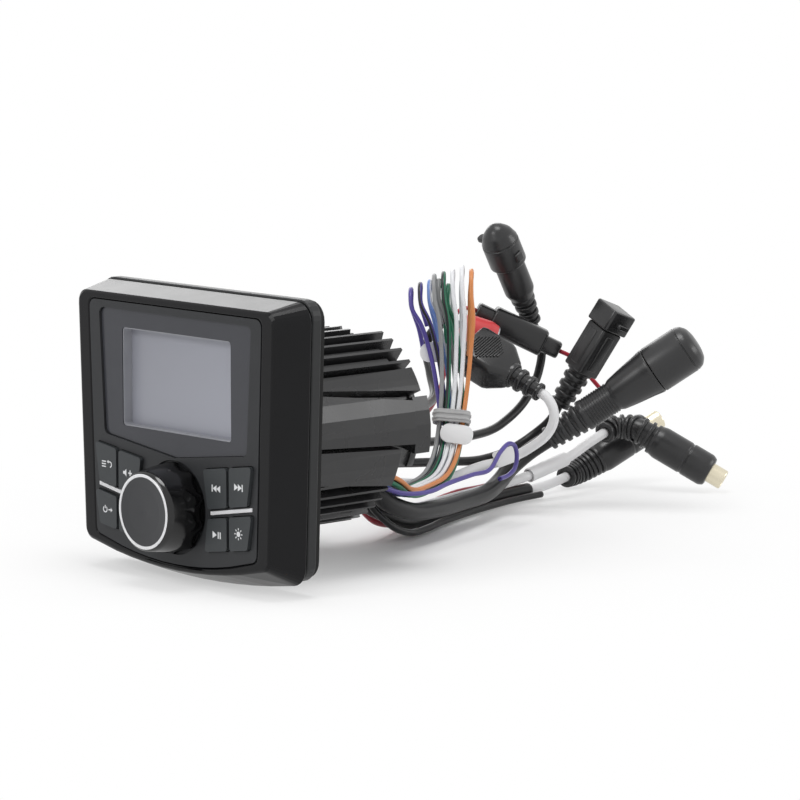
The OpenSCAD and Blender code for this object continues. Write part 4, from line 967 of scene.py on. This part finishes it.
# %% Antenna socket
antenna_seat = end_seat(antenna_cable["points"])
ANTENNA_R, ANTENNA_LEN, ANTENNA_CAP = 6.2, 50.0, 20.0
antenna_top = ANTENNA_LEN - ANTENNA_CAP
antenna_barrel = turned_mesh("antenna_barrel", soft_profile([
    (0, 11), (4.7, 11), (4.8, 12.5), (ANTENNA_R, 16), (ANTENNA_R, antenna_top), (0, antenna_top),
], 0.6), antenna_seat)
antenna_boot = boot_mesh("antenna_boot", straight_places(antenna_seat, 11.5), 3.8, 5.0, 4, 2.6, 1.0)
antenna_cable["with"] += [
    add_shell("antenna_socket_shell", "antenna_socket", antenna_barrel, antenna_boot)]
cap_r = ANTENNA_R + 1.5
seam_z = antenna_top + 11
dome = turned_mesh("antenna_dome", soft_profile([
    (0, antenna_top + CAP_GAP), (cap_r, antenna_top + CAP_GAP), (cap_r, seam_z),
    (cap_r - 0.4, seam_z + 0.2), (cap_r - 0.4, seam_z + 0.8), (cap_r - 0.1, seam_z + 1),
    (cap_r - 1.6, seam_z + 4.6), (cap_r - 4.4, seam_z + 7.6), (0, ANTENNA_LEN + 0.2),
], 0.9, 4), antenna_seat)
tab_z, hook_z = antenna_top + 10, antenna_top + 3
tab = block_mesh("antenna_tab", antenna_seat, tab_z, tab_z + 2, 5.5, 4, 1.6, 0.5, -cap_r - 1.25)
hook = block_mesh("antenna_hook", antenna_seat, hook_z, hook_z + 4, 2.2, 4, 0.9, 0.5, cap_r - 0.1)
add_shell("antenna_dust_cap", "antenna_cap", dome, tab, hook, body="antenna_cap_body")
print("antenna socket ready")

# %% [markdown]
# ## Remote plug
# A square plug with grooves along its faces, a ribbed boot and a square cap with a lug.

# %% Remote plug
remote_seat = end_seat(remote_cable["points"])
REMOTE_W, REMOTE_LEN, REMOTE_CAP = 11.0, 45.0, 9.0
remote_top = REMOTE_LEN - REMOTE_CAP
KEEL_W, KEEL_OUT, HOOD_OUT = 4.5, 1.0, 2.0
remote_shell = block_mesh("remote_shell", remote_seat, 15.5, remote_top, REMOTE_W, REMOTE_W, 1.2, 0.7)
keels = [
    block_mesh("remote_keel", remote_seat, 18, remote_top - 2, width, depth, 0.6, 0.4)
    for width, depth in ((KEEL_W, REMOTE_W + KEEL_OUT), (REMOTE_W + KEEL_OUT, KEEL_W))
]
remote_boot = boot_mesh("remote_boot", straight_places(remote_seat, 16), 4.5, 5.5, 5, 2.7, 1.1)
remote_cable["with"] += [add_shell("remote_plug_shell", "remote_plug", remote_shell, *keels, remote_boot)]
hood_w = REMOTE_W + HOOD_OUT
hood = block_mesh(
    "remote_hood", remote_seat, remote_top + CAP_GAP, REMOTE_LEN + CAP_GAP, hood_w, hood_w, 1.4, 0.7)
lug = block_mesh(
    "remote_lug", remote_seat, remote_top + 3.3, remote_top + 5.3, 4.4, 6, 0.8, 0.5, REMOTE_W / 2 + 1.8)
add_shell(
    "remote_plug_hood", "remote_plug_cap", hood, lug, material=gloss_black, body="remote_plug_cap_body")
print("remote plug ready")

# %% [markdown]
# ## Tuner plug
# A flat plug whose grip is a raised pad with fine ridges, so that wet fingers can pull it. The ridges
# repeat, so a Geometry Nodes tree lays them in a row and shortens them towards the pad's points.


# %% Grip tree
def build_grip_tree():
    tree, given, result = start_tree("GeometryNodeTree", "grip_ridges", [
        ("Ridge", "Geometry"), ("Ridges", "Int", 11), ("Pitch", "Float", 0.0009), ("Point", "Float", 0.7),
        ("Finish", "Material"),
    ], [("Pad", "Geometry")])
    step = add_node(tree, "ShaderNodeCombineXYZ", {"Z": given["Pitch"]})
    row = add_node(tree, "GeometryNodeMeshLine", {
        "Count": given["Ridges"], "Offset": step.outputs["Vector"],
    })
    run = add_node(tree, "ShaderNodeMapRange", {
        "Value": add_node(tree, "GeometryNodeInputIndex").outputs["Index"],
        "From Max": reckon(tree, "SUBTRACT", given["Ridges"], 1.0), "To Min": -1.0, "To Max": 1.0,
    })
    away = reckon(tree, "ABSOLUTE", run.outputs["Result"])
    width = reckon(tree, "SUBTRACT", 1.0, reckon(tree, "MULTIPLY", away, given["Point"]))
    size = add_node(tree, "ShaderNodeCombineXYZ", {"X": width, "Y": 1.0, "Z": 1.0})
    laid = add_node(tree, "GeometryNodeInstanceOnPoints", {
        "Points": row.outputs["Mesh"], "Instance": given["Ridge"], "Scale": size.outputs["Vector"],
    })
    end_tree(tree, laid.outputs["Instances"], given["Finish"], result["Pad"])
    return tree


grip_tree = build_grip_tree()
print("tree:", grip_tree.name)


# %% Tuner plug
def grip_mesh(name, matrix, width, ridges, pitch, point):
    """A diamond of ridges, centred on local Z from its first ridge on, standing on the local XZ plane."""
    ridge = block_mesh(name + "_ridge", Matrix.Identity(4), -0.32, 0.32, width, 0.9, 0.3, 0.25)
    mesh = grown_mesh(name, ridge, grip_tree, {
        "Ridges": ridges, "Pitch": pitch * MM, "Point": point, "Finish": moulded_black,
    })
    mesh.transform(matrix)
    return mesh


tuner_points = tuner_lead["points"]
tuner_seat = seat(tuner_points[-1], (0.8 * DEEP + 0.6 * UP).normalized(), end_way(tuner_points))
tuner_core = stacked_mesh("tuner_core", [
    (12.5, 9.6, 8, 2.6), (13.0, 11, 9, 2.6), (14.2, 12.6, 10, 2.6), (18.6, 19.4, 12.2, 2.8),
    (20.4, 21, 13, 3), (33.2, 21, 13, 3), (34.6, 20.4, 12.4, 2.8), (35.2, 19, 11, 2.4),
], tuner_seat)
tuner_boot = boot_mesh("tuner_boot", straight_places(tuner_seat, 13.2), 3.8, 5.4, 4, 2.8, 1.0)
GRIP_PLACE = Vector((0, -6.6, 20.6)) * MM
grips = []
for turn in (0, math.pi):
    facing = tuner_seat @ Matrix.Rotation(turn, 4, "Z") @ Matrix.Translation(GRIP_PLACE)
    grips.append(grip_mesh("tuner_grip", facing, 17, 13, 1.0, 0.75))
tuner_lead["with"] += [
    add_shell("tuner_plug_shell", "tuner_plug", tuner_core, tuner_boot, *grips, material=gloss_black)]
print("tuner plug ready")

# %% [markdown]
# ## Fuse holder
# A moulded case around a blade fuse: a rounded box, and a stub at each end for the wire.

# %% Fuse holder
fuse_seat = seat(fuse_from, DEEP, fuse_way)
FUSE_STUB, FUSE_LAP = 8, 1
case_from, case_to = FUSE_STUB - FUSE_LAP, FUSE_LEN - FUSE_STUB + FUSE_LAP
fuse_box = [
    block_mesh("fuse_stub", fuse_seat, 0, FUSE_STUB, 7.6, 7.6, 2.2, 0.9),
    block_mesh("fuse_case", fuse_seat, case_from, case_to, 10, 11, 2.6, 1.2),
    block_mesh("fuse_stub", fuse_seat, FUSE_LEN - FUSE_STUB, FUSE_LEN, 7, 7, 2.0, 0.9),
]
fuse_feed["with"] += [add_shell("fuse_holder_box", "fuse_holder", *fuse_box, material=gloss_black)]
print("fuse holder ready")

# %% [markdown]
# ## Red jack
# A small red barrel, open at its end, with a plated ring around the bore.

# %% Red jack
red_seat = end_seat(red_cable["points"])
red_barrel = turned_mesh("red_barrel", soft_profile([
    (0, 0), (4.5, 0), (5.8, 3), (6.2, 12), (5.2, 15.5), (4.2, 15.5), (4.2, 8), (0, 8),
], 0.8, 4), red_seat, 40)
red_jack = add_piece("red_jack_barrel", red_barrel, jack_red, stands_for=["red_jack"])
red_rim = turned_mesh("red_rim", soft_profile([
    (5.1, 14.6), (5.1, 15.7), (4.7, 16.1), (3.5, 16.1), (3.3, 15.8), (3.3, 14.6),
], 0.25), red_seat, 40, loop=True)
red_ring = add_piece("red_jack_ring", red_rim, screw_steel)
red_cable["with"] += [red_jack, red_ring]
print("red jack ready")

# %% [markdown]
# ## Audio jacks
# Each jack is a moulded barrel on a curved boot. The open end shows a cream insulator inside a
# brass contact, paled towards white: partly the brass's own tone and partly a painted highlight.


# %% Audio jacks
JACK_R, JACK_LEN = 7.0, 27.0
BOOT_STRAIGHT = 5 * MM
BOOT_STEP = 1.0 * MM


def moulded_jack(jack, lead, *bends):
    """The boot starts straight on from its lead and follows the bends, given in millimetres."""
    start = lead["points"][-1]
    line = [start, start + BOOT_STRAIGHT * end_way(lead["points"])] + in_metres(*bends)
    places = [place for place, way in smooth_route(line, BOOT_STEP)]
    boot = boot_mesh(jack + "_boot", places, 4.6, 6.5, 9, 1.75, 1.1)
    matrix = end_seat(line)
    barrel = turned_mesh(jack + "_barrel", soft_profile([
        (0, -0.6), (5.9, -0.6), (6.3, 0.2), (JACK_R, 3), (JACK_R, 15), (JACK_R - 0.35, 15.4),
        (JACK_R - 0.35, 16), (JACK_R, 16.4), (JACK_R, JACK_LEN - 2), (JACK_R - 1, JACK_LEN),
        (0, JACK_LEN),
    ], 0.7), matrix, 44)
    lead["with"].append(add_shell(jack + "_shell", jack, barrel, boot))
    open_end = matrix @ Matrix.Translation(Vector((0, 0, JACK_LEN)) * MM)
    inner = [(3.4, 0), (3.4, 3.6), (3.2, 4), (2.2, 4), (2, 3.6), (2, 0)]
    outer = [(4.2, 0), (4.2, 6), (4.0, 6.5), (3.6, 6.5), (3.45, 6.2), (3.45, 0)]
    for part, profile, material, slot, node in (
        ("_insulator", inner, jack_cream, "jack_cream", "jack_insulators"),
        ("_contact", outer, contact_brass, "contact_brass", "jack_contacts"),
    ):
        ring = turned_mesh(jack + part, soft_profile(profile, 0.2), open_end, 36, loop=True)
        lead["with"].append(add_piece(jack + part, ring, material, stands_for=[node]))


moulded_jack("audio_jack_left", left_lead, (-40, 240.5, 25.4), (-36, 241.5, 25), (-30, 245.5, 21))
moulded_jack("audio_jack_right", right_lead, (-56.6, 230.5, 7.4), (-54.6, 236.5, 10.7))
print("audio jacks ready")

# %% [markdown]
# ## Small things on the wires
# A white sleeve marks one lead, a grey tie with two pressed ridges holds the folded wires, and paper tags
# hang on them.


# %% Sleeve
lead_from, lead_to = left_lead["points"][7:9]
lead_run = lead_to - lead_from
sleeve_top = lead_run.length / MM - 1
lead_sleeve = turned_mesh("lead_sleeve", soft_profile([
    (2.95, 1), (2.95, sleeve_top), (2.35, sleeve_top), (2.35, 1),
], 0.15), seat(lead_from, RIGHT, lead_run.normalized()), 32, loop=True)
left_lead["with"] += [add_piece(
    "lead_marker_sleeve", lead_sleeve, lead_white, stands_for=["lead_sleeves"])]
print("sleeve ready")


# %% Tie
def band_mesh(name, width, depth, radius, profile, matrix):
    """A closed band: the profile of (outward, height) goes once round a rounded rectangle."""
    loop = rounded_section(width, depth, radius, 8)
    count, steps = len(loop), len(profile)
    points, faces = [], []
    for k, (x, y) in enumerate(loop):
        ahead, behind = Vector(loop[(k + 1) % count]), Vector(loop[k - 1])
        run = (ahead - behind).normalized()
        out = Vector((run.y, -run.x))
        points += [matrix @ (Vector((x + out.x * o, y + out.y * o, h)) * MM) for o, h in profile]
    for k in range(count):
        for i in range(steps):
            a, b = k * steps, (k + 1) % count * steps
            j = (i + 1) % steps
            faces.append((a + i, b + i, b + j, a + j))
    return shade(mesh_of(name, points, faces))


def bundle_place(index):
    return Vector(bundle[index][0]) * MM


TIE_ROOM = 2.4
TIE_HALF = 2.5 * MM
tie_way = (bundle_place(8) - bundle_place(6)).normalized()
tie_seat = seat(bundle_place(7) - TIE_HALF * tie_way, SIDE, tie_way)
tie_profile = [
    (0.25, 0), (0.4, 0.2), (0.4, 0.9), (0.75, 1.2), (0.75, 1.7), (0.4, 2.0), (0.4, 3.0), (0.75, 3.3),
    (0.75, 3.8), (0.4, 4.1), (0.4, 4.8), (0.25, 5), (-0.25, 5), (-0.4, 4.8), (-0.4, 0.2), (-0.25, 0),
]
tie_band = band_mesh(
    "wire_tie_band", 5 * WIRE_PITCH + TIE_ROOM, 2 * WIRE_PITCH + TIE_ROOM, 2.6, tie_profile, tie_seat)
add_piece("wire_tie_band", tie_band, tie_grey, stands_for=["wire_tie"])
print("tie ready")

# %% Tags
TAGS = [(6, 0.45, 3, 13, 8, 3.6, 1), (8, 0.95, -6, 12, 8, 3.8, -1)]
STAND_OFF = WIRE_PITCH / 2 + WIRE_D / MM / 2 + 0.6
HALF_TAG = 0.25


def hang_tag(name, place, way, width, tall, corner, away):
    flat = seat(place, SIDE, way) @ Matrix.Rotation(math.pi / 2, 4, "X")
    mesh = block_mesh(name, flat, away - HALF_TAG, away + HALF_TAG, width, tall, corner, 0.15)
    add_piece(name, mesh, label_white, stands_for=["wire_tags"])


for number, (index, share, offset, width, tall, corner, front) in enumerate(TAGS, 1):
    a, b = bundle_place(index), bundle_place(index + 1)
    place = a + share * (b - a) + offset * MM * SIDE
    name = "wire_tag_%d" % number
    hang_tag(name, place, (b - a).normalized(), width, tall, corner, front * STAND_OFF)
hang_tag("tuner_tag", tuner_points[8], way_at(tuner_points, 8), 7, 10, 1.2, LEAD_D / MM / 2 + 1.45)
print("tags ready")

# %% [markdown]
# ## Grommet
# The oblong rubber plug in the wall behind the low block, through which the whole harness leaves.

# %% Grommet
BACKWARD = Vector((0, 1, 0))
grommet_seat = seat(Vector((0, 38, 29)) * MM, RIGHT, BACKWARD)
grommet = stacked_mesh("grommet", [
    (0, 30.4, 10.4, 5.1), (2, 30.4, 10.4, 5.1), (2.02, 32.4, 12.4, 6.1), (2.4, 33, 13, 6.4),
    (6.2, 33, 13, 6.4), (6.8, 32.4, 12.4, 6.1), (7, 31.4, 11.4, 5.6),
], grommet_seat)
add_piece(
    "harness_grommet_plug", grommet, seal_rubber, stands_for=["harness_grommet"])
print("grommet ready")

# %% [markdown]
# ## Declaring the cords
# ## The cords
# Each cord runs as far as the photograph shows, from the grommet to its end, and its points are the
# line that its tube follows. This cell counts them.

# %% Cord facts
print("declared", len(cords), "cords")

# %% [markdown]
# ## Screen liner
# Behind the window's edge a pale frame closes the gap to the screen. It is a thin band that follows the
# opening.

# %% Screen liner
SCREEN_W, SCREEN_H, SCREEN_Z, WINDOW_Y, SCREEN_Y = 61.0, 36.4, 73.0, -38.0, -33.8
liner_seat = seat(Vector((0, WINDOW_Y, SCREEN_Z)) * MM, RIGHT, BACKWARD)
liner_deep = SCREEN_Y - WINDOW_Y
liner = band_mesh("screen_liner", SCREEN_W, SCREEN_H, 1.5, [
    (-0.05, 0.4), (-0.05, liner_deep), (-0.4, liner_deep), (-0.4, 0.4),
], liner_seat)
add_piece("screen_liner", liner, screen_wall)
print("screen liner ready")

# %% [markdown]
# ## Icons on the keys
# The icons are printed in white, so each is a very thin raised shape on the front of its key, and it
# moves with the key. Only general signs are used. Each sign is a few flat outlines, in millimetres from
# the key's middle.


# %% Icon outlines
def bar(x, z, width, tall):
    w, h = width / 2, tall / 2
    return [(x - w, z - h), (x + w, z - h), (x + w, z + h), (x - w, z + h)]


def arc(x, z, radius, thick, start, end, steps=16):
    turns = [math.radians(start + (end - start) * k / steps) for k in range(steps + 1)]
    outer, inner = (
        [(x + r * math.cos(t), z + r * math.sin(t)) for t in turns] for r in (radius, radius - thick)
    )
    return outer + inner[::-1]


def ray(near, far, thick, angle):
    c, s = math.cos(math.radians(angle)), math.sin(math.radians(angle))
    corners = ((near, -thick / 2), (far, -thick / 2), (far, thick / 2), (near, thick / 2))
    return [(u * c - v * s, u * s + v * c) for u, v in corners]


def wedge(tip, base, half=0.95):
    """A triangle on the middle line, from its base to its tip."""
    if tip > base:
        return [(base, -half), (tip, 0), (base, half)]
    return [(base, half), (tip, 0), (base, -half)]


SPEAKER = [(-2.0, -0.4), (-1.4, -0.4), (-0.6, -1.05), (-0.6, 1.05), (-1.4, 0.4), (-2.0, 0.4)]
MINUS = bar(1.0, 0, 1.6, 0.4)
LINES = [bar(-1.4, z, 1.7, 0.34) for z in (0.8, 0.1, -0.6)]
SUN = [arc(0, 0, 0.72, 0.72, start, start + 180) for start in (0, 180)]
SUN_RAYS = [ray(1.05, 1.6, 0.3, 45 * k) for k in range(8)]
ICONS = {
    "menu": ((-37, 39.7), LINES + [
        arc(1.2, 0.1, 0.87, 0.34, -90, 90), bar(0.9, 0.8, 0.7, 0.34),
        [(-0.1, 0.8), (0.6, 0.3), (0.6, 1.3)],
    ]),
    "bass_up": ((-25, 37.9), [SPEAKER, MINUS, bar(1.0, 0.5, 0.4, 0.6), bar(1.0, -0.5, 0.4, 0.6)]),
    "source": ((-37, 22.9), [
        arc(-1.0, 0, 0.95, 0.3, 125, 415), bar(-1.0, 0.7, 0.3, 0.9), bar(0.9, 0, 1.0, 0.34),
        wedge(2.1, 1.4, 0.6),
    ]),
    "bass_down": ((-25, 21.1), [SPEAKER, MINUS]),
    "previous": ((25, 37.9), [bar(-1.65, 0, 0.4, 1.9), wedge(-1.4, 0.1), wedge(0.1, 1.6)]),
    "next": ((37, 39.7), [bar(1.65, 0, 0.4, 1.9), wedge(1.4, -0.1), wedge(-0.1, -1.6)]),
    "play": ((25, 21.1), [wedge(0.1, -1.6), bar(0.7, 0, 0.42, 1.8), bar(1.5, 0, 0.42, 1.8)]),
    "dimmer": ((37, 22.9), SUN + SUN_RAYS),
}
print("icon outlines:", sum(len(outlines) for middle, outlines in ICONS.values()))

# %% Printed icons
KEY_FRONT = -40.4
ICON_SIZE = 1.35
PRINT_OUT, PRINT_IN = 0.05, 0.03


def printed_mesh(name, middle, outlines):
    points, faces = [], []
    for outline in outlines:
        start, count = len(points), len(outline)
        for y in (KEY_FRONT - PRINT_OUT, KEY_FRONT + PRINT_IN):
            points += [
                Vector((middle[0] + x * ICON_SIZE, y, middle[1] + z * ICON_SIZE)) * MM for x, z in outline
            ]
        faces.append(tuple(range(start, start + count)))
        faces.append(tuple(reversed(range(start + count, start + 2 * count))))
        for k in range(count):
            n = (k + 1) % count
            faces.append((start + k, start + count + k, start + count + n, start + n))
    return mesh_of(name, points, faces)


for key, (middle, outlines) in ICONS.items():
    name = "icon_" + key
    body = "button_%s_key" % key
    add_piece(name, printed_mesh(name, middle, outlines), icon_white, body=body)
print("icons:", len(ICONS))

# %% [markdown]
# ## Floor and backdrop
# The photograph stands on white. The floor is a plain pale sheet that keeps the shadow near the object,
# and far from it the camera sees plain white.


# %% Floor
FLOOR_MIDDLE = (-0.02, 0.09)
FLOOR_HALF = 6.0
FLOOR_DROP = 0.0003
FADE_END = 0.24


def seen_directly(tree):
    """A mask: 1 for what the camera sees, also mirrored or through glass, and 0 for light on things."""
    light = add_node(tree, "ShaderNodeLightPath").outputs
    mirrored = reckon(tree, "MAXIMUM", light["Is Glossy Ray"], light["Is Transmission Ray"])
    return reckon(tree, "MAXIMUM", light["Is Camera Ray"], mirrored)


def floor_paper():
    material = bpy.data.materials.new("floor_paper")
    material.use_nodes = True
    tree = material.node_tree
    shader = tree.nodes["Principled BSDF"]
    shader.inputs["Roughness"].default_value = 0.9
    shader.inputs["Specular IOR Level"].default_value = 0.1
    shader.inputs["Base Color"].default_value = (0.94, 0.94, 0.94, 1.0)
    place = add_node(tree, "ShaderNodeTexCoord").outputs["Object"]
    distance = add_node(tree, "ShaderNodeVectorMath", {0: place}, operation="LENGTH").outputs["Value"]
    fade = add_node(tree, "ShaderNodeMapRange", {
        "Value": distance, "From Min": 0.0, "From Max": FADE_END,
    }, interpolation_type="SMOOTHSTEP")
    share = reckon(tree, "MULTIPLY", seen_directly(tree), fade.outputs["Result"])
    white = add_node(tree, "ShaderNodeEmission").outputs["Emission"]
    mix = add_node(tree, "ShaderNodeMixShader", {"Fac": share, 1: shader.outputs["BSDF"], 2: white})
    tree.links.new(mix.outputs["Shader"], tree.nodes["Material Output"].inputs["Surface"])
    return material


corners = [(-FLOOR_HALF, -FLOOR_HALF, 0), (FLOOR_HALF, -FLOOR_HALF, 0),
           (FLOOR_HALF, FLOOR_HALF, 0), (-FLOOR_HALF, FLOOR_HALF, 0)]
floor = bpy.data.objects.new("floor", mesh_of("floor", corners, [(0, 1, 2, 3)]))
scene.collection.objects.link(floor)
floor.location = (*FLOOR_MIDDLE, cad_box[0][2] - FLOOR_DROP)
floor.data.materials.append(floor_paper())
print("floor ready")

# %% [markdown]
# ## Light
# A product studio: a soft box overhead, one high at the front that reaches the face and the round plugs,
# two low ones behind whose light glides over the bezel's top and the cords, and a paper-white room.


# %% Lamps and room
def soft_box(name, place, target, width, height, power):
    lamp = bpy.data.lights.new(name, "AREA")
    lamp.shape = "RECTANGLE"
    lamp.size = width
    lamp.size_y = height
    lamp.energy = power
    holder = bpy.data.objects.new(name, lamp)
    scene.collection.objects.link(holder)
    holder.location = place
    holder.rotation_euler = (Vector(target) - Vector(place)).to_track_quat("-Z", "Y").to_euler()


soft_box("overhead", (0.05, 0.0, 1.1), (0.0, 0.05, 0.03), 0.5, 0.5, 5.5)
soft_box("front_high", (-0.05, -1.0, 0.75), (0.0, 0.08, 0.05), 0.5, 0.4, 3.5)
soft_box("back_left", (-1.15, 0.8, 0.55), (-0.04, 0.0, 0.08), 0.9, 0.4, 2.4)
soft_box("back_right", (0.9, 1.0, 0.5), (0.0, 0.08, 0.05), 0.7, 0.35, 3.0)

ROOM_LIGHT, ROOM_SEEN = 0.45, 1.0
world = bpy.data.worlds.new("room")
world.use_nodes = True
scene.world = world
tree = world.node_tree
room = tree.nodes["Background"]
room.inputs["Color"].default_value = (1, 1, 1, 1)
level = add_node(tree, "ShaderNodeMapRange", {
    "Value": seen_directly(tree), "To Min": ROOM_LIGHT, "To Max": ROOM_SEEN,
})
tree.links.new(level.outputs["Result"], room.inputs["Strength"])
print("lights ready")
